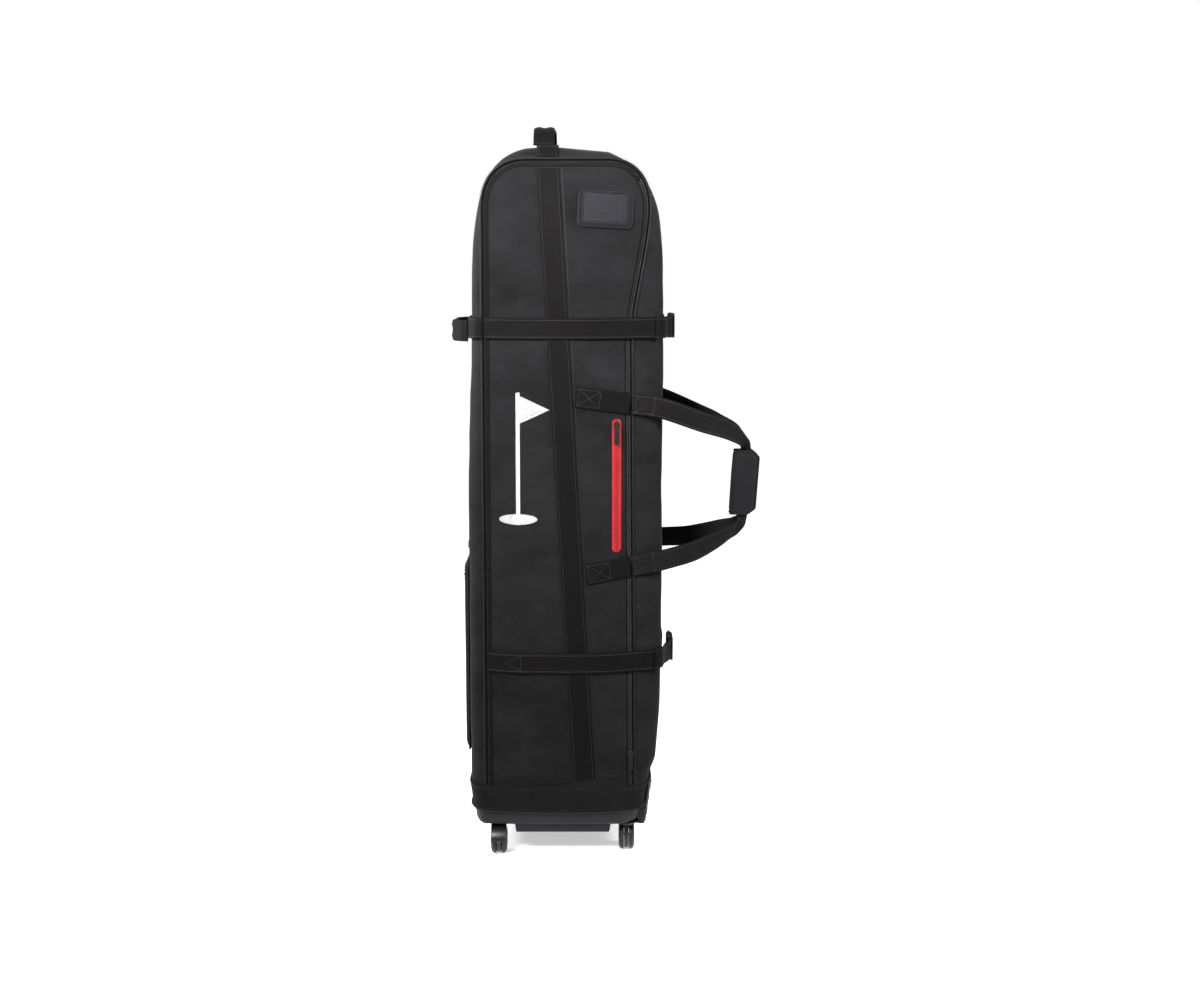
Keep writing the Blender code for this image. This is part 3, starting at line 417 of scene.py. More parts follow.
def smooth_curve(keys, per_span):
    """Catmull-Rom curve through keys, each a tuple of numbers."""
    keys = [Vector(k) for k in keys]
    ends = [keys[0] * 2 - keys[1]] + keys + [keys[-1] * 2 - keys[-2]]
    out = []
    for i in range(1, len(ends) - 2):
        a, b, c, d = ends[i - 1:i + 3]
        for k in range(per_span):
            t = k / per_span
            out.append(0.5 * (2 * b + (c - a) * t + (2 * a - 5 * b + 4 * c - d) * t ** 2
                              + (3 * b - a - 3 * c + d) * t ** 3))
    out.append(keys[-1])
    return out


def rounded_loop(centre, size, radius, per_corner=6, per_side=8):
    """Rounded rectangle of (a, b), anticlockwise, with points along its straight sides."""
    out = []
    for k, (sa, sb) in enumerate(((1, 1), (-1, 1), (-1, -1), (1, -1))):
        ca = centre[0] + sa * (size[0] / 2 - radius)
        cb = centre[1] + sb * (size[1] / 2 - radius)
        for a in steps(k * math.pi / 2, (k + 1) * math.pi / 2, per_corner):
            out.append((ca + radius * math.cos(a), cb + radius * math.sin(a)))
        corner = out[-1]
        run = (size[0] if k % 2 == 0 else size[1]) - 2 * radius
        ahead = (-sa, 0) if k % 2 == 0 else (0, -sb)
        for i in range(1, per_side):
            step = run * i / per_side
            out.append((corner[0] + ahead[0] * step, corner[1] + ahead[1] * step))
    return out


# ---------------------------------------------------------------- materials
class Nodes:
    """Short way to build a node material."""

    def __init__(self, name, colour, roughness, metallic=0.0, **sockets):
        self.mat = bpy.data.materials.new(name)
        self.mat.use_nodes = True
        self.tree = self.mat.node_tree
        self.shader = self.tree.nodes["Principled BSDF"]
        self.shader.inputs["Base Color"].default_value = (*colour, 1.0)
        self.shader.inputs["Roughness"].default_value = roughness
        self.shader.inputs["Metallic"].default_value = metallic
        for key, value in sockets.items():
            self.shader.inputs[key.replace("_", " ")].default_value = value
        self.place = self.add("ShaderNodeTexCoord").outputs["Object"]

    def add(self, kind, **inputs):
        node = self.tree.nodes.new(kind)
        for key, value in inputs.items():
            self.set(node, key.replace("_", " "), value)
        return node

    def set(self, node, key, value):
        socket = node.inputs[key]
        if isinstance(value, bpy.types.NodeSocket):
            self.tree.links.new(value, socket)
        else:
            socket.default_value = value

    def noise(self, scale, detail=3.0, rough=0.5, stretch=None):
        node = self.add("ShaderNodeTexNoise", Scale=scale, Detail=detail, Roughness=rough)
        self.tree.links.new(self.stretched(stretch), node.inputs["Vector"])
        return node.outputs["Fac"]

    def stretched(self, stretch):
        if stretch is None:
            return self.place
        mapping = self.add("ShaderNodeMapping", Scale=stretch)
        self.tree.links.new(self.place, mapping.inputs["Vector"])
        return mapping.outputs["Vector"]

    def wave(self, pitch, direction, distort=0.0):
        """Bands of the given pitch in metres across one axis."""
        node = self.add("ShaderNodeTexWave", Scale=0.314 / pitch, Distortion=distort)
        node.bands_direction = direction
        self.tree.links.new(self.place, node.inputs["Vector"])
        return node.outputs["Fac"]

    def ramp(self, factor, low, high, colours):
        node = self.add("ShaderNodeValToRGB", Fac=factor)
        node.color_ramp.elements[0].position = low
        node.color_ramp.elements[1].position = high
        for element, colour in zip(node.color_ramp.elements, colours):
            element.color = (*colour, 1.0)
        return node.outputs["Color"]

    def level(self, factor, low, high):
        node = self.add("ShaderNodeMapRange", Value=factor, To_Min=low, To_Max=high)
        return node.outputs["Result"]

    def maths(self, operation, a, b):
        node = self.add("ShaderNodeMath")
        node.operation = operation
        for i, value in enumerate((a, b)):
            self.set(node, i, value)
        return node.outputs["Value"]

    def colour(self, socket):
        self.tree.links.new(socket, self.shader.inputs["Base Color"])
        return self

    def roughness(self, socket):
        self.tree.links.new(socket, self.shader.inputs["Roughness"])
        return self

    def bump(self, height, distance, strength=1.0):
        node = self.add("ShaderNodeBump", Height=height, Distance=distance, Strength=strength)
        before = self.shader.inputs["Normal"].links
        if before:
            self.tree.links.new(before[0].from_socket, node.inputs["Normal"])
        self.tree.links.new(node.outputs["Normal"], self.shader.inputs["Normal"])
        return self


def fabric_material(name, dark, light, weave=0.0009):
    """Matt coated polyester: plain weave, cloudy tone, faint sheen."""
    n = Nodes(name, dark, 0.82, Sheen_Weight=0.015, Sheen_Roughness=0.45, Specular_IOR_Level=0.05)
    cloud = n.noise(9.0, 6.0, 0.68, (1.0, 1.0, 1.6))
    grain = n.noise(900.0, 2.0, 0.6)
    mixed = n.maths("ADD", n.maths("MULTIPLY", cloud, 0.70), n.maths("MULTIPLY", grain, 0.30))
    n.colour(n.ramp(mixed, 0.32, 0.68, (dark, light)))
    n.roughness(n.level(cloud, 0.74, 0.92))
    warp = n.wave(weave, "X", 0.4)
    weft = n.wave(weave, "Z", 0.4)
    n.bump(n.maths("MULTIPLY", warp, weft), 0.00012, 0.6)
    n.bump(n.noise(55.0, 5.0, 0.65, (0.7, 1.0, 1.5)), 0.0011, 0.45)
    return n.mat


def webbing_material(name, dark, light, across="Z"):
    """Ribbed nylon webbing; across is the axis along which its ribs repeat."""
    n = Nodes(name, dark, 0.62, Sheen_Weight=0.008, Sheen_Roughness=0.35, Specular_IOR_Level=0.04)
    rib = n.wave(0.0021, across)
    fleck = n.noise(1300.0, 2.0, 0.6)
    wear = n.noise(30.0, 4.0, 0.6)
    mixed = n.maths("ADD", n.maths("MULTIPLY", rib, 0.35), n.maths("MULTIPLY", fleck, 0.65))
    n.colour(n.ramp(mixed, 0.25, 0.75, (dark, light)))
    n.roughness(n.level(wear, 0.50, 0.78))
    n.bump(n.maths("ADD", rib, n.maths("MULTIPLY", fleck, 0.5)), 0.00035, 0.8)
    return n.mat


def plastic_material(name, dark, light, roughness, grain=1400.0, depth=0.00008, **sockets):
    """Moulded plastic with a fine spark texture and softly varied gloss."""
    n = Nodes(name, dark, roughness, **sockets)
    cloud = n.noise(25.0, 4.0, 0.6)
    n.colour(n.ramp(cloud, 0.30, 0.70, (dark, light)))
    n.roughness(n.level(n.noise(70.0, 5.0, 0.6), roughness - 0.08, roughness + 0.10))
    n.bump(n.noise(grain, 3.0, 0.5), depth, 0.7)
    return n.mat


def make_materials():
    """All materials by name."""
    mats = {
        "fabric": fabric_material("shell_fabric", (0.0024, 0.0024, 0.0026), (0.0086, 0.0087, 0.0092)),
        "skirt": fabric_material("skirt_fabric", (0.0024, 0.0024, 0.0027), (0.0058, 0.0058, 0.0063), 0.0013),
        "lining": fabric_material("lining_fabric", (0.038, 0.039, 0.042), (0.056, 0.057, 0.061), 0.0006),
        "web": webbing_material("webbing", (0.0011, 0.0010, 0.0010), (0.0034, 0.0031, 0.0030)),
        "web_loop": webbing_material("webbing_loop", (0.0022, 0.0020, 0.0020), (0.0062, 0.0057, 0.0057)),
        "binding": fabric_material("window_binding", (0.0030, 0.0031, 0.0034), (0.0078, 0.0080, 0.0087),
                                   0.0013),
        "grip": fabric_material("grip_cloth", (0.0032, 0.0032, 0.0036), (0.0078, 0.0079, 0.0088), 0.0008),
        "red_thread": Nodes("red_thread", (0.55, 0.020, 0.028), 0.6).mat,
        "web_up": webbing_material("webbing_upright", (0.0013, 0.0012, 0.0012), (0.0038, 0.0034, 0.0034),
                                   "X"),
        "thread": Nodes("sewing_thread", (0.0044, 0.0044, 0.0047), 0.60).mat,
        "piping": plastic_material("piping", (0.0016, 0.0016, 0.0018), (0.0034, 0.0034, 0.0036), 0.62,
                                   Specular_IOR_Level=0.15),
        "tape": fabric_material("zip_tape", (0.0012, 0.0012, 0.0013), (0.0034, 0.0034, 0.0036), 0.0006),
        "coil": plastic_material("zip_coil", (0.0014, 0.0014, 0.0015), (0.0032, 0.0032, 0.0034), 0.55,
                                 Specular_IOR_Level=0.2),
        "base": plastic_material("base_plastic", (0.0064, 0.0062, 0.0080), (0.0100, 0.0097, 0.0121), 0.52,
                                 900.0, 0.00016, Specular_IOR_Level=0.16),
        "board": plastic_material("inner_board", (0.030, 0.030, 0.030), (0.055, 0.055, 0.055), 0.85),
        "buckle": plastic_material("buckle_plastic", (0.0020, 0.0020, 0.0021), (0.0038, 0.0038, 0.0039), 0.48,
                                   Specular_IOR_Level=0.18),
        "caster": plastic_material("caster_plastic", (0.0030, 0.0030, 0.0032), (0.0055, 0.0055, 0.0057), 0.32,
                                   Specular_IOR_Level=0.35),
        "wheel": plastic_material("wheel_rubber", (0.0030, 0.0030, 0.0032), (0.0058, 0.0058, 0.0060), 0.45,
                                  Specular_IOR_Level=0.30),
        "hub": plastic_material("wheel_hub", (0.0080, 0.0080, 0.0084), (0.0130, 0.0130, 0.0134), 0.35,
                                Specular_IOR_Level=0.35),
        "foam": plastic_material("foam", (0.070, 0.070, 0.075), (0.110, 0.110, 0.115), 0.95, 700.0, 0.0004),
    }
    steel = Nodes("axle_steel", (0.55, 0.55, 0.56), 0.28, 1.0)
    steel.roughness(steel.level(steel.noise(300.0, 3.0, 0.6, (6.0, 1.0, 1.0)), 0.20, 0.42))
    mats["steel"] = steel.mat
    enamel = Nodes("zip_enamel", (0.0035, 0.0035, 0.0037), 0.42, Specular_IOR_Level=0.22)
    enamel.roughness(enamel.level(enamel.noise(180.0, 3.0), 0.30, 0.50))
    mats["enamel"] = enamel.mat
    red = Nodes("red_zip", (0.36, 0.010, 0.014), 0.60, Specular_IOR_Level=0.18)
    reds = ((0.142, 0.0031, 0.0046), (0.186, 0.0052, 0.0074))
    red.colour(red.ramp(red.noise(45.0, 4.0, 0.6), 0.3, 0.7, reds))
    red.roughness(red.level(red.noise(120.0, 3.0), 0.42, 0.60))
    red.bump(red.wave(0.0012, "Z"), 0.00010, 0.5)
    mats["red"] = red.mat
    satin = Nodes("white_thread", (0.84, 0.84, 0.84), 0.42, Sheen_Weight=0.3, Sheen_Roughness=0.3)
    whites = ((0.19, 0.19, 0.195), (0.26, 0.26, 0.26))
    satin.colour(satin.ramp(satin.noise(500.0, 3.0), 0.3, 0.7, whites))
    satin.bump(satin.noise(2500.0, 2.0), 0.00008, 0.6)
    mats["satin"] = satin.mat
    vinyl = Nodes("clear_vinyl", (0.012, 0.012, 0.015), 0.26, Specular_IOR_Level=0.30, Alpha=0.40)
    vinyl.roughness(vinyl.level(vinyl.noise(35.0, 3.0), 0.14, 0.30))
    vinyl.bump(vinyl.noise(22.0, 3.0), 0.0012, 0.5)
    mats["vinyl"] = vinyl.mat
    card = Nodes("blank_card", (0.070, 0.070, 0.085), 0.75)
    greys = ((0.0088, 0.0088, 0.0110), (0.0132, 0.0132, 0.0158))
    card.colour(card.ramp(card.noise(14.0, 4.0), 0.3, 0.7, greys))
    mats["card"] = card.mat
    return mats


MATS = make_materials()


# ---------------------------------------------------------------- cloth of the body
def panel_heights(inset, straight=150, arch=34):
    """Heights of the rows of a side panel, from its foot to its top."""
    top = SEAM_TOP - inset
    rows = steps(LID_BOTTOM, SEAM_SHOULDER_Z, straight)[:-1]
    rows += [SEAM_SHOULDER_Z + (top - SEAM_SHOULDER_Z) * math.sin(a) ** (2 / SEAM_POWER)
             for a in steps(0.0, math.pi / 2, arch)]
    return rows


def make_panel(name, side, inset, body, node):
    """Side panel from its foot to the seam's arch."""
    skin = []
    lining = []
    for z in panel_heights(inset):
        xs = steps(seam_back_x(z, inset), seam_front_x(z, inset), PANEL_COLUMNS)
        skin.append([on_side(side, x, z) for x in xs])
        lining.append([on_side(side, x, z, -FABRIC) for x in xs])
    make_cloth(name, skin, lining, body, (node,))


def make_cloth(name, skin, lining, body, nodes):
    """Outer cloth and its lining in one closed mesh."""
    shape = Shape().add(*slab(skin, lining))
    outside = len(skin) * len(skin[0])
    shape.slots = [1 if min(face) >= outside else 0 for face in shape.faces]
    piece = shape.make(name, (MATS["fabric"], MATS["lining"]), body, nodes, "fabric", 50)


def running_length(points):
    """Length along a polyline up to each of its points."""
    lengths = [0.0]
    for a, b in zip(points, points[1:]):
        lengths.append(lengths[-1] + (Vector(b) - Vector(a)).length)
    return lengths


def in_step_with(points, guide):
    """Points along a polyline at the same fractions of its length as guide's points have of theirs."""
    lengths = running_length(points)
    guide_lengths = running_length(guide)
    out = []
    i = 1
    for part in guide_lengths:
        target = lengths[-1] * part / guide_lengths[-1]
        while lengths[i] < target - 1e-9:
            i += 1
        span = lengths[i] - lengths[i - 1]
        out.append(tuple(Vector(points[i - 1]).lerp(Vector(points[i]), (target - lengths[i - 1]) / span)))
    return out


def wall_paths():
    """The wall's outer outline and its seam, as equal lists of (x, z) from foot to foot."""
    join = SEAM_SWING[0]
    power = 2 / SHOULDER_POWER
    turns = steps(0.0, math.pi / 2, 90)
    shoulder = back_x(BACK_SHOULDER_Z)
    back = [(back_x(z), z) for z in steps(join, BACK_SHOULDER_Z, 16)[:-1]]
    back += [(lerp(CROWN_X, shoulder, math.cos(a) ** power),
              lerp(BACK_SHOULDER_Z, CASE_TOP, math.sin(a) ** power)) for a in turns]
    front = [(lerp(CROWN_X, CASE_FRONT, math.cos(a) ** power),
              lerp(FRONT_SHOULDER_Z, CASE_TOP, math.sin(a) ** power)) for a in reversed(turns)]
    front.append((CASE_FRONT, join))
    heights = panel_heights(0.0, 120, 30)
    low = [z for z in heights if z < join]
    high = [z for z in heights if z >= join]
    seam_back = [(seam_back_x(z), z) for z in high] + [(CROWN_X, SEAM_TOP)]
    seam_front = [(CROWN_X, SEAM_TOP)] + [(seam_front_x(z), z) for z in reversed(high)]
    outer = [(back_x(z), z) for z in low]
    outer += in_step_with(back, seam_back)[:-1] + in_step_with(front, seam_front)
    outer += [(front_x(z), z) for z in reversed(low)]
    seam = [(SEAM_BACK, z) for z in low] + seam_back[:-1] + seam_front
    seam += [(seam_front_x(z), z) for z in reversed(low)]
    return outer, seam


def make_wall():
    """Back, top and front wall in one run of cloth, with its lining."""
    outer_path, seam = wall_paths()
    corner = 10
    flat = steps(-FLAT_HALF, FLAT_HALF, 22)[1:-1]
    skin = []
    lining = []
    for (ox, oz), (sx, sz) in zip(outer_path, seam):
        crown = Vector((ox, 0, oz))
        edge = Vector((sx, 0, sz))
        away = (crown - edge).normalized()
        half = seam_half_width(sz)
        arc = []
        for turn in steps(0.0, math.pi / 2, corner):
            place = edge.lerp(crown, math.cos(turn))
            place.y = lerp(FLAT_HALF, half, math.sin(turn))
            out = (away * math.cos(turn) + Vector((0, 1, 0)) * math.sin(turn)).normalized()
            arc.append((place, out, math.cos(turn)))
        flip = Vector((1, -1, 1))
        mirror = [(place * flip, out * flip, hold) for place, out, hold in reversed(arc)]
        middle = [(Vector((ox, y, oz)), away, 1.0) for y in flat]
        row = []
        under = []
        for place, out, hold in mirror + middle + arc:
            slack = 0.0030 * noise.noise(Vector((place.x * 9.0, place.y * 9.0, place.z * 5.0)))
            slack += 0.0010 * noise.noise(Vector((place.x * 30.0, place.y * 22.0 + 7.0, place.z * 20.0)))
            for strap in STRAP_Z.values():
                slack *= 1.0 - math.exp(-((place.z - strap) / 0.035) ** 2)
            if place.z > SEAM_TOP:
                slack *= 1.0 - math.exp(-((place.x - CROWN_X) / 0.030) ** 4)
            slack *= ease((place.z - LID_BOTTOM) / 0.03) * ease(hold * 1.6)
            skin_point = place + out * (slack - 0.0012 * ease(hold * 2.0))
            row.append(skin_point)
            under.append(skin_point - out * FABRIC)
        skin.append(row)
        lining.append(under)
    make_cloth("wall_cloth", skin, lining, "case", ("gusset_back", "gusset_top", "gusset_front"))


def seam_points(side, inset, lift):
    """Points along the U-shaped seam, from the foot of the back to the foot of the front."""
    heights = panel_heights(inset, 110, 26)
    back = [(seam_back_x(z, inset), z) for z in heights]
    front = [(seam_front_x(z, inset), z) for z in reversed(heights)]
    return [Vector((x, side * (side_y(x, z) + lift), z)) for x, z in back + front]


def make_piping():
    """Cord along each seam, with a row of stitches on both sides of it."""
    for tag, side in (("near", -1), ("far", 1)):
        shape = Shape().add(*tube(seam_points(side, -0.0005, 0.0012), 0.0021, 8))
        for inset, lift in ((-0.0042, -0.0012), (0.0062, 0.0004)):
            stitches(shape, seam_points(side, inset, lift), 1)
        shape.make(f"piping_cord_{tag}", (MATS["piping"], MATS["thread"]), "case", (f"piping_{tag}",),
                   "piping")


def make_zip(name, inset, teeth_at, body, node):
    """Half of the main zip: its tape and its row of coil teeth."""
    edges = [seam_points(-1, inset + ZIP_WIDTH * share, -0.0016) for share in (0.0, 0.5, 1.0)]
    top = list(zip(*edges))
    under = [[p + Vector((0, 0.0009, 0)) for p in row] for row in top]
    shape = Shape().add(*slab(top, under))
    half_tooth = 0.0013
    lean = 0.0007 if teeth_at > inset else -0.0007
    for middle, ahead in along(seam_points(-1, teeth_at, -0.0010), 0.0017):
        reach = ahead.cross(Vector((0, 1, 0))).normalized() * half_tooth - ahead * lean / 2
        shape.add(*tube([middle - reach, middle + reach], 0.00055, 5), 1)
    shape.make(name, (MATS["tape"], MATS["coil"]), body, (node,), "piping")


# ---------------------------------------------------------------- skirt and base
def plan_point(turn, z, inset=0.0):
    """Point of the body's plan at height z: turn runs 0 to 3 per half, back corner, side, front corner."""
    half_turn = turn if turn <= 3.0 else 6.0 - turn
    side = 1.0 if turn <= 3.0 else -1.0
    held = max(z, LID_BOTTOM)
    seam_y = seam_half_width(z) - inset
    front = front_x(z) - inset
    seam_f = min(seam_front_x(held), front - 0.035)
    if half_turn < 1.0:
        a = half_turn * math.pi / 2
        x = lerp(SEAM_BACK, back_x(z) + inset, math.cos(a))
        y = lerp(FLAT_HALF, seam_y, math.sin(a))
    elif half_turn <= 2.0:
        x = lerp(SEAM_BACK, seam_f, half_turn - 1.0)
        y = side_y(x, held) - inset
    else:
        a = (3.0 - half_turn) * math.pi / 2
        x = lerp(seam_f, front, math.cos(a))
        y = lerp(FLAT_HALF, seam_y, math.sin(a))
    return Vector((x, side * y, z))


def plan_loop(z_at, inset, corner=10, side=26, flat=12):
    """Closed loop round the body; z_at(x) gives its height."""
    turns = steps(0.0, 1.0, corner)[:-1] + steps(1.0, 2.0, side)[:-1] + steps(2.0, 3.0, corner)
    points = []
    for turn in turns + [6.0 - t for t in reversed(turns)]:
        first = plan_point(turn, BAND_TOP, inset)
        points.append(plan_point(turn, z_at(first.x), inset))
    full = []
    for a, b in zip(points, points[1:] + points[:1]):
        full.append(a)
        if abs(a.y) < FLAT_HALF + 0.001 and abs(b.y) < FLAT_HALF + 0.001:
            full += [a.lerp(b, share) for share in steps(0.0, 1.0, flat)[1:-1]]
    return full


def hem_height(x):
    """Height of the skirt's lower edge, which rises towards the back and the front."""
    across = min(1.0, max(0.0, (x - CASE_BACK) / (front_x(BAND_BOTTOM) - CASE_BACK)))
    return BAND_BOTTOM + HEM_RISE * abs(2.0 * across - 1.0) ** 2.5


SKIRT_ROWS = (              # share of the skirt's height, and how far it puffs out there
    (0.0, 0.0008), (0.03, 0.0016), (0.10, 0.0012), (0.25, 0.0006), (0.45, 0.0004), (0.65, 0.0006),
    (0.85, 0.0010), (0.96, 0.0016), (1.0, 0.0004))


def skirt_loop(share, inset, top):
    """Loop round the body at a share of the height from the skirt's hem to top."""
    return plan_loop(lambda x: lerp(hem_height(x), top, share), inset)


def make_skirt():
    """Fabric band over the tray's wall, with a bound hem and three rows of stitches."""
    top = BAND_TOP + 0.001
    outer = []
    for share, puff in SKIRT_ROWS:
        hold = ease(share * 4.0) * ease((1.0 - share) * 4.0)
        row = []
        for place in skirt_loop(share, -puff, top):
            out = Vector((place.x - BODY_MIDDLE_X, place.y, 0)).normalized()
            row.append(place + out * (0.0012 * noise.noise(place * 16.0) * hold))
        outer.append(row)
    columns = list(zip(*outer))
    lining = list(zip(*[skirt_loop(share, FABRIC, top) for share, _ in SKIRT_ROWS]))
    shape = Shape().add(*slab(columns, lining, closed=True))
    for share, lift in ((0.92, 0.0018), (0.84, 0.0014), (0.10, 0.0018)):
        loop = skirt_loop(share, -lift, BAND_TOP)
        stitches(shape, loop + loop[:1], 1)
    shape.add(*tube(plan_loop(hem_height, -0.0012), 0.0021, 8, closed=True), 2)
    skirt = shape.make("skirt_cloth", (MATS["skirt"], MATS["thread"], MATS["piping"]), "case",
                       ("skirt_band",), "fabric", 50)


def make_fold():
    """Strip in which the lid's cloth runs into the skirt, in one soft fold."""
    low = BAND_TOP - 0.006
    high = LID_BOTTOM + 0.012
    inset = 2 * ZIP_WIDTH + 0.001
    xs = steps(SEAM_BACK + inset, seam_front_x(LID_BOTTOM) - inset, 40)
    front = []
    behind = []
    for z in steps(low, high, 13):
        lift = 0.0016 + 0.0010 * math.sin(math.pi * (z - low) / (high - low))
        front.append([Vector((x, -(side_y(x, max(z, LID_BOTTOM)) + lift), z)) for x in xs])
        behind.append([p + Vector((0, 0.0012, 0)) for p in front[-1]])
    fold = Shape().add(*slab(front, behind)).make("fold_cloth", (MATS["skirt"],), slot="fabric", angle=60)
    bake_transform(fold)


def loop_solid(loops):
    """Closed solid through loops of equal count, with flat ends."""
    count = len(loops[0])
    vertices = [p for loop in loops for p in loop]
    faces = [tuple(range(count)), tuple(range((len(loops) - 1) * count, len(loops) * count))]
    for k in range(len(loops) - 1):
        for i in range(count):
            j = (i + 1) % count
            faces.append((k * count + i, k * count + j, (k + 1) * count + j, (k + 1) * count + i))
    return vertices, faces


def keel_ring(z, scale):
    """Plan of the keel, drawn in by scale."""
    centre_x = sum(KEEL_X) / 2
    quarters = []
    for caster_x, end_x in zip(CASTER_X, KEEL_X):
        reach = end_x - caster_x
        start = math.atan2(-math.sqrt(KEEL_NOTCH ** 2 - reach ** 2), reach)
        rise = KEEL_HALF_WIDTH - CASTER_HALF_TRACK
        end = math.atan2(rise, math.copysign(math.sqrt(KEEL_NOTCH ** 2 - rise ** 2), reach))
        if reach < 0:
            start += 2 * math.pi
        quarters.append([(caster_x + KEEL_NOTCH * math.cos(a), CASTER_HALF_TRACK + KEEL_NOTCH * math.sin(a))
                         for a in steps(start, end, 28)])
    half = quarters[0] + list(reversed(quarters[1]))
    return [Vector((centre_x + (x - centre_x) * scale, y * scale, z)) for x, y in mirrored(half)]


def tray_shell(high):
    """Open tray: up its outside, over its rim and down its inside."""
    wall = 0.0042
    levels = ((SHELL_BOTTOM, 0.0150), (SHELL_BOTTOM + 0.0006, 0.0125), (0.0625, 0.0098), (0.0660, 0.0072),
              (0.0720, 0.0056), (0.0800, 0.0050), (high - 0.001, wall), (high, wall + 0.0012),
              (high, wall + 0.003), (0.0780, wall + 0.0045), (SHELL_BOTTOM + 0.0030, 0.0150))
    return loop_solid([plan_loop(lambda x: z, inset) for z, inset in levels])


def make_base():
    """Moulded tray, with a keel between the casters and a boss round each caster's stem."""
    low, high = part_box("base_shell")
    shape = Shape().add(*tray_shell(high.z))
    keel = ((SHELL_BOTTOM + 0.001, 1.0), (low.z + 0.0075, 0.985), (low.z + 0.0028, 0.974),
            (low.z + 0.0010, 0.966), (low.z + 0.0004, 0.956))
    shape.add(*loop_solid([keel_ring(z, scale) for z, scale in keel]))
    # Long ribs under the keel.
    for x in steps(-0.130, -0.030, 6):
        rib = [(x - 0.0028, low.z + 0.0008), (x - 0.0018, low.z), (x + 0.0018, low.z),
               (x + 0.0028, low.z + 0.0008)]
        shape.add(*prism(rib, lambda a, b, c: (a, c, b), -0.112, 0.112))
    boss = [(0.0, 0.030), (-0.0006, 0.0288), (-0.0006, 0.0165), (0.0, 0.0155), (0.0010, 0.0155),
            (0.0010, 0.030)]
    for x in CASTER_X:
        for y in (-CASTER_HALF_TRACK, CASTER_HALF_TRACK):
            shape.add(*turned(boss, (x, y, SHELL_BOTTOM), "Z", 40))
    shape.make("base_tray", (MATS["base"],), "case", ("base_shell",), "base_plastic", 40)
    frame["nodes"]["base_board"].data.materials[0] = MATS["board"]


def make_kick_plate():
    """Front guard with three long ribs and a screw near each corner."""
    low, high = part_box("kick_plate")
    outer = []
    inner = []
    for y in steps(low.y, high.y, 61):
        front = []
        behind = []
        for k, z in enumerate(steps(low.z, high.z, 17)):
            bend = min(1.0, max(0.0, (abs(y) - FLAT_HALF) / (seam_half_width(z) - FLAT_HALF)))
            x = lerp(seam_front_x(LID_BOTTOM), front_x(z), math.sqrt(1.0 - bend ** 2))
            edge = max(0.0, min(z - low.z, high.z - z, high.y - abs(y), 0.004) / 0.004)
            rib = 0.0012 if k in (4, 8, 12) and abs(y) < 0.098 else 0.0
            lip = ease((BAND_BOTTOM - z) / 0.006)
            front.append(Vector((x + 0.0026 + 0.0022 * math.sqrt(edge * (2 - edge)) + rib, y, z)))
            behind.append(Vector((x + 0.0016 - 0.0110 * lip, y, z)))
        outer.append(front)
        inner.append(behind)
    plate = Shape().add(*slab(outer, inner))
    screw = [(0.0034, 0.0), (0.0062, 0.0012), (0.0062, 0.0030), (0.0050, 0.0042), (0.0034, 0.0046)]
    for side in (-1, 1):
        for z in (low.z + 0.012, high.z - 0.012):
            plate.add(*turned(screw, (front_x(z), side * 0.088, z), "X", 20), 1)
    plate.make("kick_guard", (MATS["base"], MATS["enamel"]), "case", ("kick_plate",), "base_plastic", 40)


# ---------------------------------------------------------------- webbing
EDGE = [-1.0, -0.985, -0.95, -0.88, -0.5, 0.0, 0.5, 0.88, 0.95, 0.985, 1.0]
EDGE_RISE = [0.30, 0.66, 0.90, 1.0, 1.0, 1.0, 1.0, 1.0, 0.90, 0.66, 0.30]
SEWN_COLUMNS = (3, 7)       # those of EDGE near which webbing is stitched along its edges

# Pairs of a box's corners between which stitches run: all four sides and a cross, or two ends and a cross.
BOX_AND_CROSS = ((0, 1), (1, 2), (2, 3), (3, 0), (0, 2), (1, 3))
ENDS_AND_CROSS = ((0, 1), (2, 3), (0, 2), (1, 3))


def web_on_side(side, middles, across, lift, thick=WEB_THICK):
    """Webbing sewn on a side. middles are (x, z), and across is the unit direction over its width."""
    half = WEB_WIDTH / 2
    outer = []
    inner = []
    for x, z in middles:
        spots = [(x + across[0] * share * half, z + across[1] * share * half) for share in EDGE]
        outer.append([on_side(side, *spot, lift + thick * rise) for spot, rise in zip(spots, EDGE_RISE)])
        inner.append([on_side(side, *spot, lift) for spot in spots])
    return slab(outer, inner)


def edge_stitches(shape, rows, draw_in):
    """A row of stitches along each edge of webbing; draw_in is how far it lies towards the middle."""
    middle = len(EDGE) // 2
    for column in SEWN_COLUMNS:
        stitches(shape, [row[column].lerp(row[middle], draw_in) for row in rows], 1)


def stitched_box(shape, side, corners, pairs, lift):
    """Stitches on a side between pairs of corners, each an (x, z)."""
    for i, j in pairs:
        line = [(lerp(corners[i][0], corners[j][0], t), lerp(corners[i][1], corners[j][1], t))
                for t in steps(0.0, 1.0, 9)]
        stitches(shape, side_line(side, line, lift), 1)


def side_line(side, points, lift):
    """Line on a side through (x, z) points."""
    return [on_side(side, x, z, lift) for x, z in points]


def upright_centre(z):
    """Middle of the upright webbing, which leans back as it rises."""
    return lerp(*UPRIGHT_X, (SEAM_TOP - z) / (SEAM_TOP - LID_BOTTOM))


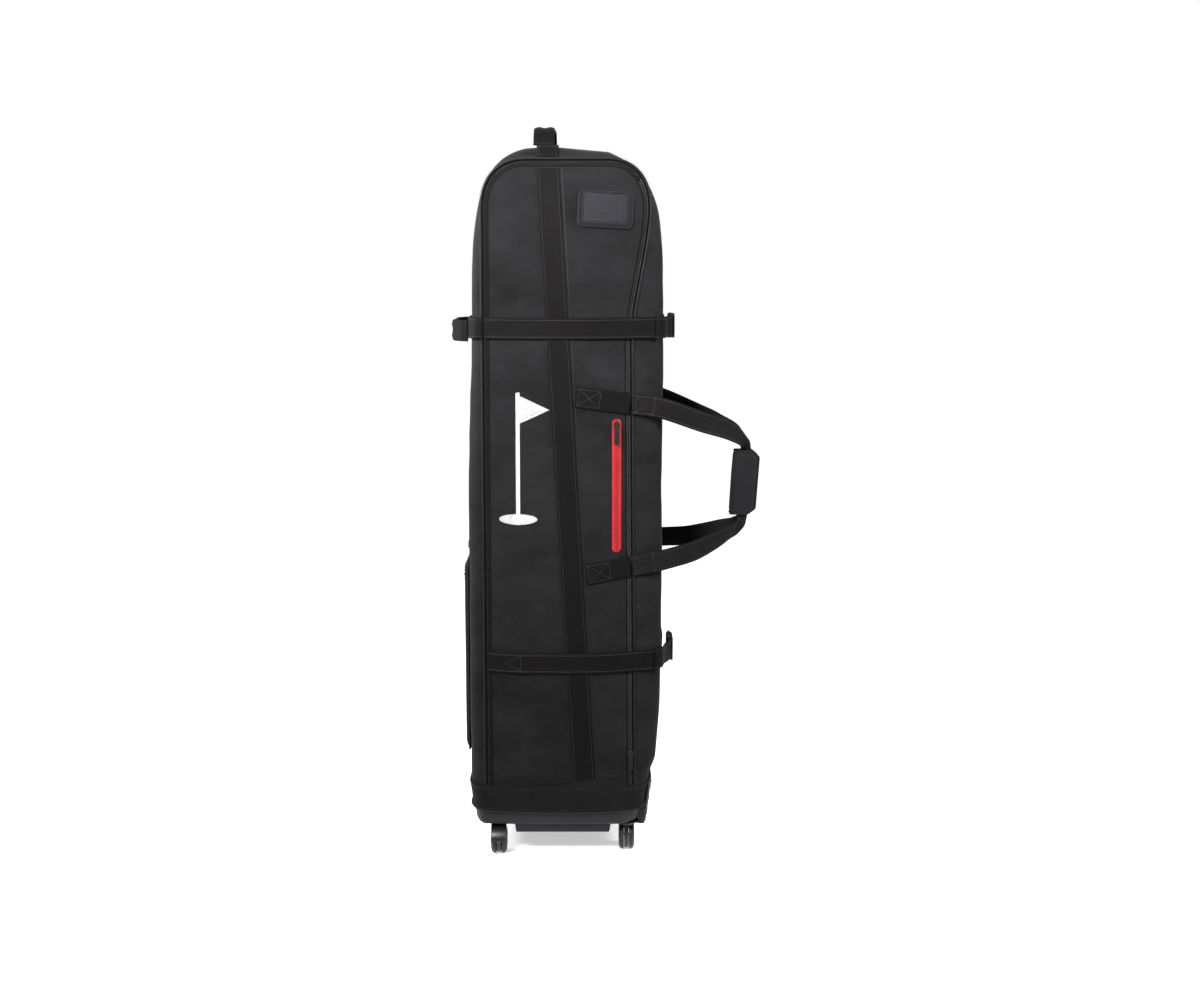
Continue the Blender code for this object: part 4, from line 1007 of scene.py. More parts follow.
def make_upright(tag, side, body, panel_inset):
    """Webbing up the middle of a side, from the panel's foot to its top edge."""
    high = SEAM_TOP - panel_inset - UPRIGHT_END
    heights = steps(LID_BOTTOM + 0.001, high, 150)
    middles = [(upright_centre(z), z) for z in heights]
    shape = Shape().add(*web_on_side(side, middles, (1, 0), SEWN_LIFT))
    stitched_at = 0.0162
    for offset in (-stitched_at, stitched_at):
        line = [(x + offset, z) for x, z in middles]
        stitches(shape, side_line(side, line, SEWN_LIFT + WEB_THICK), 1)
    # The two halves of the panel are sewn together just in front of the webbing.
    seam = side_line(side, [(x + WEB_WIDTH / 2 + 0.0045, z) for x, z in middles], 0.0002)
    shape.add(*tube(seam, 0.0011, 6), 2)
    shape.make(f"upright_web_{tag}", (MATS["web_up"], MATS["thread"], MATS["piping"]), body,
               (f"webbing_{tag}",), "webbing")


def make_top_web():
    """The upright webbing carried on over the top, up to the top handle's sewn ends."""
    middle = upright_centre(SEAM_TOP)
    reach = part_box("top_handle")[1].y + 0.0012
    for tag, side in (("near", -1), ("far", 1)):
        path = []
        for turn in steps(math.pi / 2 - 0.16, 0.0, 16):
            y = lerp(FLAT_HALF, seam_half_width(SEAM_TOP), math.sin(turn))
            z = lerp(SEAM_TOP, CASE_TOP, math.cos(turn))
            path.append((y, z, Vector((0, side * math.sin(turn), math.cos(turn)))))
        if reach < FLAT_HALF:
            path += [(y, CASE_TOP, Vector((0, 0, 1))) for y in steps(FLAT_HALF, reach, 6)[1:]]
        outer = []
        inner = []
        for y, z, out in path:
            spots = [Vector((middle + share * WEB_WIDTH / 2, side * y, z)) for share in EDGE]
            outer.append([spot + out * (WEB_THICK * rise) for spot, rise in zip(spots, EDGE_RISE)])
            inner.append([spot + out * 0.0001 for spot in spots])
        shape = Shape().add(*slab(outer, inner))
        edge_stitches(shape, outer, 0.12)
        shape.make(f"top_web_{tag}", (MATS["web_up"], MATS["thread"]), "case", slot="webbing")


def strap_turns(from_turn, to_y):
    """(turn, y override) stations of a level strap, round the side to the front face."""
    turns = [(t, None) for t in steps(from_turn, 2.0, 60)]
    turns += [(t, None) for t in steps(2.0, 3.0, 16)[1:]]
    turns += [(3.0, y) for y in steps(FLAT_HALF, to_y, 10)[1:]]
    return turns


def strap_point(turn, y, z, side):
    """Point under a level strap: by its turn round the body, or by y on the front face."""
    if y is not None:
        return Vector((front_x(z), side * y, z))
    if 1.0 < turn < 2.0:
        return on_side(side, lerp(SEAM_BACK, seam_front_x(z), turn - 1.0), z)
    point = plan_point(turn, z)
    return Vector((point.x, side * point.y, z))


def level_strap(shape, z, stations, side, lift, width=WEB_WIDTH, bridge=None, climb=0.0):
    """Adds a strap that runs level round the body, and its edge stitching.

    bridge gives how far it stands off the front, from its y, where it crosses to a buckle, and climb
    how far it rises on its way there.
    """
    outer = []
    inner = []
    for i, (turn, y) in enumerate(stations):
        before = strap_point(*stations[max(i - 1, 0)], z, side)
        after = strap_point(*stations[min(i + 1, len(stations) - 1)], z, side)
        out = Vector((after.y - before.y, before.x - after.x, 0)).normalized()
        if out.dot(Vector((before.x - BODY_MIDDLE_X, before.y, 0))) < 0:
            out = -out
        stand = lift + (bridge(y) if bridge and y is not None else 0.0)
        top = []
        under = []
        for share, rise in zip(EDGE, EDGE_RISE):
            base = strap_point(turn, y, z + climb * ease(turn - 1.6) + share * width / 2, side)
            top.append(base + out * (stand + WEB_THICK * rise))
            under.append(base + out * stand)
        outer.append(top)
        inner.append(under)
    shape.add(*slab(outer, inner))
    edge_stitches(shape, outer, 0.12)


KEEPER_TURNS = (2.46, 2.59)     # where the keeper band lies on a near strap, on the front corner


def make_near_straps():
    """Straps round the near side, each leaving the front's face to reach its buckle."""
    for level, z in STRAP_Z.items():
        low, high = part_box(f"buckle_female_{level}")
        end = 0.0004 - low.y
        full = (low.x + high.x - WEB_THICK) / 2 - front_x(z) - STRAP_LIFT
        climb = (low.z + high.z) / 2 - z

        def bridge(y):
            return full * ease((FLAT_HALF - y) / (FLAT_HALF - end))

        shape = Shape()
        level_strap(shape, z, strap_turns(1.03, end), -1, STRAP_LIFT, bridge=bridge, climb=climb)
        keeper = [(turn, None) for turn in steps(*KEEPER_TURNS, 4)]
        level_strap(shape, z, keeper, -1, STRAP_LIFT + WEB_THICK + 0.0004, WEB_WIDTH + 0.006, climb=climb)
        if level == "lower":
            corners = [(SEAM_BACK + 0.014, z - 0.0135), (SEAM_BACK + 0.014, z + 0.0135),
                       (SEAM_BACK + 0.066, z + 0.0135), (SEAM_BACK + 0.066, z - 0.0135)]
            stitched_box(shape, -1, corners, ENDS_AND_CROSS, STRAP_LIFT + WEB_THICK)
        shape.make(f"strap_web_{level}_near", (MATS["web"], MATS["thread"]), "lid",
                   (f"strap_{level}_near",), "webbing")


def make_far_straps():
    """Straps round the far side; the upper one starts on the near side and crosses the back."""
    upper = Shape()
    z = STRAP_Z["upper"]
    level_strap(upper, z, [(turn, None) for turn in steps(1.0, 0.0, 14)], -1, STRAP_LIFT)
    spots = [(back_x(h) - STRAP_LIFT, h) for h in [z + share * WEB_WIDTH / 2 for share in EDGE]]
    outer = []
    inner = []
    for y in steps(-FLAT_HALF, FLAT_HALF, 16):
        outer.append([Vector((x - WEB_THICK * rise, y, h)) for (x, h), rise in zip(spots, EDGE_RISE)])
        inner.append([Vector((x, y, h)) for x, h in spots])
    upper.add(*slab(outer, inner))
    far = [(turn, None) for turn in steps(0.0, 1.0, 14)] + strap_turns(1.0, FAR_STRAP_END)[1:]
    level_strap(upper, z, far, 1, STRAP_LIFT)
    lower = Shape()
    level_strap(lower, STRAP_Z["lower"], strap_turns(1.02, FAR_STRAP_END), 1, STRAP_LIFT)
    for level, shape in (("upper", upper), ("lower", lower)):
        shape.make(f"strap_web_{level}_far", (MATS["web"], MATS["thread"]), "case",
                   (f"strap_{level}_far",), "webbing")


# (x, z) of both ends of each carry handle's sewn end, the one under the loop last.
ANCHORS = {"upper": ((-0.055, 0.846), (0.0415, 0.831)), "lower": ((-0.037, 0.5285), (0.0415, 0.5405))}


def make_anchors():
    """Sewn ends of the carry loops, each with a box and cross of stitches."""
    low = SEWN_LIFT + 0.0004
    thick = 0.0024
    for level, ends in ANCHORS.items():
        start, end = Vector(ends[0]), Vector(ends[1])
        ahead = (end - start).normalized()
        across = Vector((-ahead.y, ahead.x))
        middles = [start.lerp(end, t) for t in steps(0.0, 1.0, 24)]
        near_end = start + ahead * 0.005
        far_end = start + ahead * 0.043
        half = across * 0.0145
        corners = [near_end - half, near_end + half, far_end + half, far_end - half]
        for tag, side, body in (("near", -1, "lid"), ("far", 1, "case")):
            shape = Shape().add(*web_on_side(side, middles, across, low, thick))
            stitched_box(shape, side, corners, BOX_AND_CROSS, low + thick)
            shape.make(f"anchor_web_{level}_{tag}", (MATS["web"], MATS["thread"]), body,
                       (f"anchor_{level}_{tag}",), "webbing")


def lobed_profile(width, thick, groove):
    """Flattened tube with a groove along its outer side, as (across, out) pairs."""
    count = 28
    out = []
    for k in range(count):
        a = 2 * math.pi * k / count
        across = width / 2 * math.copysign(abs(math.cos(a)) ** 0.55, math.cos(a))
        height = thick / 2 * math.copysign(abs(math.sin(a)) ** 0.75, math.sin(a))
        if height > 0:
            height -= groove * math.exp(-(across / (width * 0.13)) ** 2)
        out.append((across, height + thick / 2))
    return out


def make_grab_handle(name, node, outward, across):
    """Webbing handle: flat sewn tabs, and a middle rolled into two lobes."""
    low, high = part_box(node)
    outward, across = Vector(outward), Vector(across)
    reach = abs((high - low).dot(outward))
    base = (low + high) / 2 - outward * reach / 2
    half, end = 0.085, (high.y - low.y) / 2
    tab, roll_thick = 0.0030, 0.0125
    rings = []
    for y in steps(-end, end, 81):
        rise = max(0.0, 1.0 - abs(y / half) ** 3) ** 0.6
        roll = ease((0.052 - abs(y)) / 0.022)
        thick = lerp(tab, roll_thick, roll)
        centre = base + outward * (reach - thick) * rise + Vector((0, y, 0))
        profile = lobed_profile(WEB_WIDTH - 0.002 * roll, thick, 0.0042 * roll)
        rings.append([centre + across * a + outward * b for a, b in profile])
    shape = Shape().add(*loop_solid(rings))
    for side in (-1, 1):
        corners = [(-0.014, 0.087), (0.014, 0.087), (0.014, end - 0.003), (-0.014, end - 0.003)]
        points = [base + across * a + Vector((0, side * b, 0)) + outward * (tab + 0.0001) for a, b in corners]
        for i, j in BOX_AND_CROSS:
            stitches(shape, [points[i], points[j]], 1)
    shape.make(name, (MATS["web"], MATS["thread"]), "case", (node,), "webbing")


# ---------------------------------------------------------------- carry handle
# Middle line of one loop: x, distance from the middle plane, z, and roll of the webbing in degrees.
CARRY_KEYS = [
    (0.0465, 0.1425, 0.8310, 0), (0.0980, 0.1340, 0.8225, 0), (0.1720, 0.0880, 0.7940, 8),
    (0.2240, 0.0460, 0.7740, 32), (0.2500, 0.0260, 0.7550, 40), (0.2585, 0.0115, 0.7340, 0),
    (0.2560, 0.0115, 0.6720, 0), (0.2525, 0.0115, 0.6130, 0), (0.2410, 0.0260, 0.5920, 42),
    (0.2150, 0.0460, 0.5790, 34), (0.1580, 0.0920, 0.5590, 8), (0.0980, 0.1340, 0.5490, 0),
    (0.0465, 0.1425, 0.5405, 0)]
CARRY_THICK = 0.0024


def make_carry_loop(tag, side):
    """Webbing loop, folded to half its width where it enters the grip, with stitched edges."""
    grip_low, grip_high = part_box(f"grip_{tag}")
    curve = smooth_curve(CARRY_KEYS, 12)
    points = [Vector((p[0], side * p[1], p[2])) for p in curve]
    width = WEB_WIDTH - 0.001
    last = len(points) - 1
    outer = []
    inner = []
    for i, p in enumerate(curve):
        ahead = (points[min(i + 1, last)] - points[max(i - 1, 0)]).normalized()
        level = ahead.cross(Vector((0, 1, 0))).normalized()
        across = (Matrix.Rotation(side * math.radians(p[3]), 3, ahead) @ level).normalized()
        normal = ahead.cross(across).normalized()
        free = ease(i / 14) * ease((last - i) / 14)
        curl = 0.0016 * free * noise.noise(Vector((i * 0.13, side * 5.0, 1.0)))
        away = max(0.0, p[2] - grip_high.z, grip_low.z - p[2])
        open_out = ease((away - 0.008) / 0.030)
        half = lerp(0.46, 1.0, open_out) * width / 2
        thick = lerp(2.0, 1.0, open_out) * CARRY_THICK
        top = []
        under = []
        for share, rise in zip(EDGE, EDGE_RISE):
            cup = normal * (curl * (2.0 * share ** 2 - 1.0))
            base = points[i] + across * share * half + cup
            top.append(base + normal * thick * (rise - 0.5))
            under.append(base - normal * thick * (rise - 0.5))
        outer.append(top)
        inner.append(under)
    shape = Shape().add(*slab(outer, inner))
    for rows in (outer, inner):
        edge_stitches(shape, rows, 0.10)
    # Crossed stitches where the loop is sewn down.
    left, right = SEWN_COLUMNS
    for first, after in ((1, 9), (last - 9, last - 1)):
        for rows in (outer, inner):
            corners = [rows[first][left], rows[first][right], rows[after][right], rows[after][left]]
            for a, b in ENDS_AND_CROSS:
                stitches(shape, [corners[a], corners[b]], 1)
    shape.make(f"carry_web_{tag}", (MATS["web_loop"], MATS["thread"]), f"carry_{tag}",
               (f"carry_loop_{tag}",), "webbing")


def make_grip(tag, side):
    """Padded wrap round one loop: folded along its inner edge, with cut-off corners at its open edge."""
    low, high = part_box(f"grip_{tag}")
    tilt = 0.008
    x0, x1 = low.x + tilt, high.x
    y0, y1 = sorted((abs(low.y), abs(high.y)))
    wall = 0.0038
    chamfer = 0.013
    fold = 0.007
    fold_x = x0 + fold
    middle = (y0 + y1) / 2
    route = [(x, y1) for x in steps(x1, fold_x, 14)]
    for a in steps(math.pi / 2, 3 * math.pi / 2, 14):
        route.append((fold_x + fold * math.cos(a), middle + (y1 - y0) / 2 * math.sin(a)))
    route += [(x, y0) for x in steps(fold_x, x1 - 0.008, 12)[1:]]
    outer = []
    inner = []
    last = len(route) - 1
    for i, (x, y) in enumerate(route):
        bx, by = route[max(i - 1, 0)]
        ax, ay = route[min(i + 1, last)]
        ahead = Vector((ax - bx, ay - by)).normalized()
        out = Vector((-ahead.y, ahead.x))
        if out.dot(Vector((x - (x0 + 0.018), y - middle))) < 0:
            out = -out
        cut = max(0.0, x - (x1 - chamfer))
        bottom = low.z + 0.8 * cut
        top = high.z - 0.8 * cut
        rows = ([], [])
        for t in steps(0.0, 1.0, 33):
            z = lerp(bottom, top, t)
            edge = min(t, 1.0 - t) * (top - bottom)
            end = min(i, last - i) * 0.0028
            puff = ease(min(edge, end) / 0.011) - 0.5
            crease = 0.0007 * noise.noise(Vector((x * 40.0, side * 3.0, z * 28.0)))
            swell = 0.0011 * puff + crease * ease(min(edge, end) / 0.008)
            lean = tilt * (high.z - z) / (high.z - low.z)
            for row, depth in zip(rows, (swell - 0.0012, -wall)):
                row.append(Vector((x - lean + out.x * depth, side * (y + out.y * depth), z)))
        outer.append(rows[0])
        inner.append(rows[1])
    shape = Shape().add(*slab(outer, inner))
    rim = rim_of(outer)
    border = [p.lerp(q, 0.5) for p, q in zip(rim, rim[1:] + rim[:1])]
    shape.add(*tube(border, 0.0013, 7, closed=True), 1)
    for column in (2, -3):
        stitches(shape, [row[column] for row in outer[2:-2]], 2)
        stitches(shape, outer[column][2:-2], 2)
    wrap = shape.make(f"grip_wrap_{tag}", (MATS["grip"], MATS["piping"], MATS["thread"]), f"carry_{tag}",
                      (f"grip_{tag}",), "webbing", 60)


# ---------------------------------------------------------------- buckles
SOCKET_LOW, SOCKET_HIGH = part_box("buckle_female_upper")
BUCKLE_HALF = (SOCKET_HIGH.z - SOCKET_LOW.z) / 2


def buckle_place(level):
    """Gives the place of (y, height over the buckle's middle, x)."""
    low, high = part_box(f"buckle_female_{level}")
    middle = (low.z + high.z) / 2
    return lambda a, b, c: (c, a, b + middle)


def plate_outline():
    """Outline of a socket's plate in (y, z), with rounded corners and drawn-in sides."""
    end, mouth = SOCKET_LOW.y, SOCKET_HIGH.y
    corner = 0.006
    waist = 0.0016
    side = [(end + corner * (1 - math.cos(a)), BUCKLE_HALF - corner * (1 - math.sin(a)))
            for a in steps(0.0, math.pi / 2, 6)[:-1]]
    for y in steps(end + corner, mouth - 0.002, 14):
        share = (y - end) / (mouth - end)
        side.append((y, BUCKLE_HALF - waist * math.sin(math.pi * share) ** 2))
    return mirrored(side + [(mouth, BUCKLE_HALF - 0.002)])


def make_socket(level):
    """Buckle's female half: two plates joined at the root, with ribs on the front one for a thumb."""
    place = buckle_place(level)
    back, front = SOCKET_LOW.x, SOCKET_HIGH.x
    end = SOCKET_LOW.y
    half = BUCKLE_HALF
    shape = Shape()
    for inner, outer in ((front - 0.0030, front), (back + 0.0030, back)):
        shape.add_plate(plate_outline(), place, inner, outer, 0.0011, 3)
    root = [(end + 0.0004, -half + 0.002), (end + 0.0004, half - 0.002), (end + 0.0062, half - 0.0006),
            (end + 0.0062, -half + 0.0006)]
    shape.add_plate(root, place, back + 0.0012, front - 0.0012, 0.0009)
    for y in steps(end + 0.012, end + 0.020, 4):
        shape.add_plate(bar(y, 0.0, 0.0007, 0.010), place, front - 0.0006, front + 0.0005, 0.0003)
    shape.make(f"buckle_socket_{level}", (MATS["buckle"],), "lid", (f"buckle_female_{level}",), "buckle", 35)


def make_clip(level):
    """Buckle's male half: two spring prongs and a tongue on a head, with bars for the strap."""
    place = buckle_place(level)
    half = BUCKLE_HALF
    low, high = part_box(f"buckle_male_{level}")
    tip, root = low.y, high.y
    prong = [(0.001, half), (0.001, half - 0.0042), (-0.006, half - 0.0066), (-0.018, half - 0.0058),
             (tip + 0.0080, half - 0.0062), (tip + 0.0030, half - 0.0085), (tip, half - 0.0105),
             (tip, half - 0.0085), (tip + 0.0030, half - 0.0040), (tip + 0.0080, half - 0.0018),
             (tip + 0.0115, half - 0.0016), (tip + 0.0135, half - 0.0034), (-0.012, half - 0.0032),
             (-0.005, half - 0.0022), (-0.001, half - 0.0002)]
    shape = Shape()
    for flip in (1, -1):
        shape.add_plate([(y, flip * z) for y, z in prong], place, low.x, high.x, 0.0006)
    tongue = mirrored([(0.001, 0.0030), (tip + 0.008, 0.0022), (tip + 0.006, 0.0012)])
    shape.add_plate(tongue, place, low.x + 0.0004, high.x - 0.0004, 0.0005)
    head = mirrored([(-0.006, -half + 0.0045), (0.0005, -half), (root - 0.004, -half), (root, -half + 0.004)])
    shape.add_plate(head, place, low.x, high.x, 0.0012, 3)
    # A collar as thick as the socket closes its mouth.
    collar = [(0.0004, -half + 0.0008), (0.0004, half - 0.0008), (0.0070, half), (0.0070, -half)]
    shape.add_plate(collar, place, SOCKET_LOW.x + 0.0004, SOCKET_HIGH.x - 0.0004, 0.0016, 3)
    for y in (0.0075, 0.0145):
        shape.add_plate(bar(y, 0.0, 0.0012, half - 0.004), place, high.x - 0.0006, high.x + 0.0012, 0.0006)
    shape.make(f"buckle_clip_{level}", (MATS["buckle"],), f"buckle_{level}", (f"buckle_male_{level}",),
               "buckle", 35)


# ---------------------------------------------------------------- details of the lid
ID_CENTRE = Vector((-0.0020, 1.1740))
ID_CLEAR = (0.077, 0.050)
ID_BORDER = 0.0105
ID_TOP_BORDER = 0.0035
ID_TILT = math.radians(-3.0)


def id_spot(x, z):
    """Point of the window's own plane turned to the window's tilt, as (x, z) on the side."""
    away = Vector((x, z)) - ID_CENTRE
    away.rotate(Matrix.Rotation(ID_TILT, 2))
    return ID_CENTRE + away


def make_id_window():
    """Blank card, and clear vinyl over it."""
    card = Shape()
    vinyl = Shape()
    reach = (ID_CLEAR[0] / 2 + 0.003, ID_CLEAR[1] / 2 + 0.002)
    thick = 0.0004
    for shape, lift in ((card, 0.0006), (vinyl, 0.0014)):
        grids = ([], [])
        for z in steps(ID_CENTRE.y - reach[1], ID_CENTRE.y + reach[1], 25):
            spots = [id_spot(x, z) for x in steps(ID_CENTRE.x - reach[0], ID_CENTRE.x + reach[0], 33)]
            wave = [0.0006 * noise.noise(Vector((p.x * 40.0, p.y * 34.0, 2.0))) if shape is vinyl else 0.0
                    for p in spots]
            grids[0].append([on_side(-1, p.x, p.y, lift + thick + w) for p, w in zip(spots, wave)])
            grids[1].append([on_side(-1, p.x, p.y, lift + w) for p, w in zip(spots, wave)])
        shape.add(*slab(*grids))
    card.make("id_card", (MATS["card"],), "lid")
    vinyl.make("id_vinyl", (MATS["vinyl"],), "lid", ("id_window",), "window", 60)


def make_id_border():
    """Webbing frame sewn round the card window."""
    shares = [0.0, 0.03, 0.12, 0.5, 0.88, 0.97, 1.0]
    rises = [0.30, 0.75, 1.0, 1.0, 1.0, 0.75, 0.30]
    hole = rounded_loop(ID_CENTRE, ID_CLEAR, 0.003)
    shift = (ID_TOP_BORDER - ID_BORDER) / 2
    outside = (ID_CLEAR[0] + 2 * ID_BORDER, ID_CLEAR[1] + ID_BORDER + ID_TOP_BORDER)
    edge = rounded_loop((ID_CENTRE.x, ID_CENTRE.y + shift), outside, 0.009)
    outer = []
    inner = []
    for (hx, hz), (ex, ez) in zip(hole, edge):
        spots = [id_spot(lerp(hx, ex, share), lerp(hz, ez, share)) for share in shares]
        outer.append([on_side(-1, p.x, p.y, 0.0016 + 0.0018 * rise) for p, rise in zip(spots, rises)])
        inner.append([on_side(-1, p.x, p.y, 0.0014) for p in spots])
    shape = Shape().add(*slab(outer, inner, closed=True))
    for share in (0.16, 0.84):
        spots = [id_spot(lerp(h[0], e[0], share), lerp(h[1], e[1], share)) for h, e in zip(hole, edge)]
        line = [on_side(-1, p.x, p.y, 0.0035) for p in spots]
        stitches(shape, line + line[:1], 1)
    shape.make("id_border", (MATS["binding"], MATS["thread"]), "lid", ("id_frame",), "webbing", 60)


def make_red_zip():
    """Red pocket zip: rounded ends, raised beads along its middle, a row of stitches down each side."""
    low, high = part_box("pocket_zip_tape")
    half = (high.x - low.x) / 2
    middle = (high.x + low.x) / 2
    heights = [low.z + half * (1 - math.cos(a)) for a in steps(0.20, math.pi / 2, 10)]
    heights += steps(low.z + half, high.z - half, 70)[1:-1]
    heights += [high.z - half * (1 - math.cos(a)) for a in steps(math.pi / 2, 0.20, 10)]
    shares = [-1.0, -0.96, -0.85, -0.30, -0.16, -0.06, 0.06, 0.16, 0.30, 0.85, 0.96, 1.0]
    rises = [0.2, 0.7, 1.0, 1.0, 1.15, 0.55, 0.55, 1.15, 1.0, 1.0, 0.7, 0.2]
    outer = []
    inner = []
    for z in heights:
        from_end = min(z - low.z, high.z - z, half)
        wide = math.sqrt(half ** 2 - (half - from_end) ** 2)
        outer.append([on_side(-1, middle + wide * s, z, 0.0008 + 0.0016 * r) for s, r in zip(shares, rises)])
        inner.append([on_side(-1, middle + wide * s, z, 0.0006) for s in shares])
    shape = Shape().add(*slab(outer, inner))
    for x in (middle - half * 0.72, middle + half * 0.72):
        line = [on_side(-1, x, z, 0.0024) for z in steps(low.z + 0.006, high.z - 0.006, 60)]
        stitches(shape, line, 1)
    shape.make("red_zip", (MATS["red"], MATS["red_thread"]), "lid", ("pocket_zip_tape",), "red_tape", 50)


def make_slider(prefix):
    """Zip slider with its bridge."""
    low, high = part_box(f"{prefix}_slider")
    x, z = (low.x + high.x) / 2, (low.z + high.z) / 2
    face = high.y
    outline = [(-0.0040, 0.0070), (0.0040, 0.0070), (0.0056, 0.0050), (0.0050, -0.0020), (0.0038, -0.0070),
               (-0.0038, -0.0070), (-0.0050, -0.0020), (-0.0056, 0.0050)]
    bridge = [(-0.0052, 0.0018), (-0.0040, 0.0036), (0.0048, 0.0040), (0.0062, 0.0030), (0.0066, 0.0018)]
    shape = Shape()
    shape.add_plate(outline, lambda a, b, c: (x + a, face - c, z + b), 0.0, 0.0022, 0.0006, 3)
    shape.add_plate(bridge, lambda a, b, c: (x + c, face - b, z + a), -0.0016, 0.0016, 0.0005)
    shape.make(f"{prefix}_runner", (MATS["enamel"],), f"{prefix}_zip_slider", (f"{prefix}_slider",),
               "zip_metal", 35)


def make_puller(prefix):
    """Moulded tab that hangs from the slider's bridge, with ribs to grip."""
    low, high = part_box(f"{prefix}_puller")
    x, y = (low.x + high.x) / 2, (low.y + high.y) / 2
    half = (high.x - low.x) / 2
    length = high.z - low.z

    def place(a, b, c):
        return (x + b, y - c, a)

    side = []
    for t in steps(0.0, 1.0, 17):
        wide = half * (0.62 + 0.38 * ease(t * 2.4))
        wide *= math.sqrt(max(0.0, 1.0 - max(0.0, (t - 0.90) / 0.10) ** 2 * 0.75))
        side.append((high.z - length * t, wide))
    shape = Shape()
    shape.add_plate(mirrored(side), place, -0.0010, 0.0010, 0.0006, 3, angle=50.0)
    for t in steps(0.50, 0.88, 7):
        rib = bar(high.z - length * t, 0.0, 0.0005, half * 0.66)
        shape.add_plate(rib, place, 0.0008, 0.0014, 0.0002, 1)
    shape.make(f"{prefix}_tab", (MATS["piping"],), f"{prefix}_zip_puller", (f"{prefix}_puller",),
               "buckle", 35)


def make_emblem():
    """Generic golf flag in satin stitch: every thread is laid across its shape."""
    stick_x, stick_half = -0.157, 0.0036
    low, high = 0.618, 0.852
    hole = (0.0340, 0.0095)
    pennant_z, pennant = 0.822, (0.056, 0.026)
    shape = Shape()

    def thread(x_from, x_to, z, droop=0.0):
        count = max(3, int((x_to - x_from) / 0.004) + 1)
        points = []
        for x in steps(x_from, x_to, count):
            t = (x - x_from) / (x_to - x_from)
            crown = 0.0007 * (1.0 - abs(2.0 * t - 1.0) ** 2.5)
            points.append(on_side(-1, x, z + droop * (t - 0.5), 0.0005 + crown))
        shape.add(*tube(points, 0.00036, 5))

    pitch = 0.00060
    count = int((high - low) / pitch)
    for k in range(count + 1):
        z = low + k * pitch
        from_hole = (z - low - hole[1]) / hole[1]
        if abs(from_hole) < 1.0:
            wide = hole[0] * math.sqrt(1.0 - from_hole ** 2)
            for part in steps(-1.0, 1.0, 5)[:-1]:
                thread(stick_x + wide * part, stick_x + wide * (part + 0.5), z, 0.0006)
        else:
            thread(stick_x - stick_half, stick_x + stick_half, z, 0.0008)
        fly = pennant[0] * (1.0 - abs(z - pennant_z) / pennant[1])
        if fly > stick_half * 1.6:
            parts = max(1, round(fly / 0.014))
            ends = steps(stick_x + stick_half * 0.6, stick_x + fly, parts + 1)
            for a, b in zip(ends, ends[1:]):
                thread(a, b, z, 0.0010)
    shape.make("flag_emblem", (MATS["satin"],), "lid", ("emblem",), "thread", 60)


# ---------------------------------------------------------------- back pocket
def make_back_pocket():
    """Flat pouch on the back: bound edge, zip across its top, and a folded tab."""
    low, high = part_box("back_pocket")
    face = high.x
    depth = high.x - low.x
    half = high.y
    corner = 0.016
    outer = []
    inner = []
    for y in steps(-half, half, 45):
        row = []
        under = []
        from_side = half - abs(y)
        cut = corner - math.sqrt(max(0.0, corner ** 2 - (corner - min(from_side, corner)) ** 2))
        for t in steps(0.0, 1.0, 65):
            z = lerp(low.z + cut, high.z - cut * 0.4, t)
            edge = min(from_side / 0.010, (z - low.z - cut) / 0.018, (high.z - cut * 0.4 - z) / 0.008)
            swell = math.sqrt(ease(edge))
            sag = 0.0012 * noise.noise(Vector((y * 20.0, z * 12.0, 3.0))) * ease(edge * 0.5)
            row.append(Vector((face - 0.0006 - (depth - 0.0016) * swell - sag * 0.8, y, z)))
            under.append(Vector((face, y, z)))
        outer.append(row)
        inner.append(under)
    shape = Shape().add(*slab(outer, inner))
    shape.add(*tube([p + Vector((-0.0012, 0, 0)) for p in rim_of(outer)], 0.0019, 7, closed=True), 1)
    zip_z = high.z - 0.026
    zip_half = half - 0.014
    for offset in (-0.0075, 0.0075):
        line = [Vector((low.x - 0.0002, y, zip_z + offset)) for y in steps(-zip_half, zip_half, 12)]
        stitches(shape, line, 2)
    for y in steps(-zip_half, zip_half, 96):
        foot = Vector((low.x + 0.0002, y, zip_z - 0.0016))
        shape.add(*tube([foot, foot + Vector((0, 0.0008, 0.0032))], 0.0006, 5), 3)
    tab = [(face - 0.0010, high.z + 0.030), (face - 0.0060, high.z + 0.026), (face - 0.0066, high.z + 0.014),
           (face - 0.0010, high.z + 0.006)]
    shape.add_plate(tab, lambda a, b, c: (a, c, b), -0.010, 0.010, 0.0012, 3, slot=1)
    pouch = shape.make("pouch_cloth", (MATS["fabric"], MATS["piping"], MATS["thread"], MATS["coil"]), "case",
                       ("back_pocket",), "fabric", 50)


def make_top_pad():
    """Padding over the club heads: a thin quilted pad that follows the inside of the shoulders."""
    outer_path, seam = wall_paths()
    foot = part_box("top_pad")[0].z + 0.004
    spots = [(o, s) for o, s in zip(outer_path, seam) if o[1] > foot]
    run = running_length([(x, 0, z) for (x, z), _ in spots])
    half = FLAT_HALF - 0.001
    backing = []
    face = []
    for ((ox, oz), (sx, sz)), at in zip(spots, run):
        inward = Vector((sx - ox, 0, sz - oz)).normalized()
        rows = ([], [])
        for y in steps(-half, half, 45):
            rim = min(half - abs(y), at, run[-1] - at)
            puff = math.sqrt(ease(rim / 0.010))
            quilt = abs(math.sin(math.pi * at / 0.075)) * abs(math.cos(math.pi * y / 0.062))
            for row, depth in zip(rows, (0.0054, 0.0064 + 0.0082 * puff * (0.30 + 0.70 * quilt ** 0.35))):
                row.append(Vector((ox, y, oz)) + inward * depth)
        backing.append(rows[0])
        face.append(rows[1])
    shape = Shape().add(*slab(face, backing))
    pad = shape.make("head_pad", (MATS["lining"],), "case", ("top_pad",), "foam", 60)


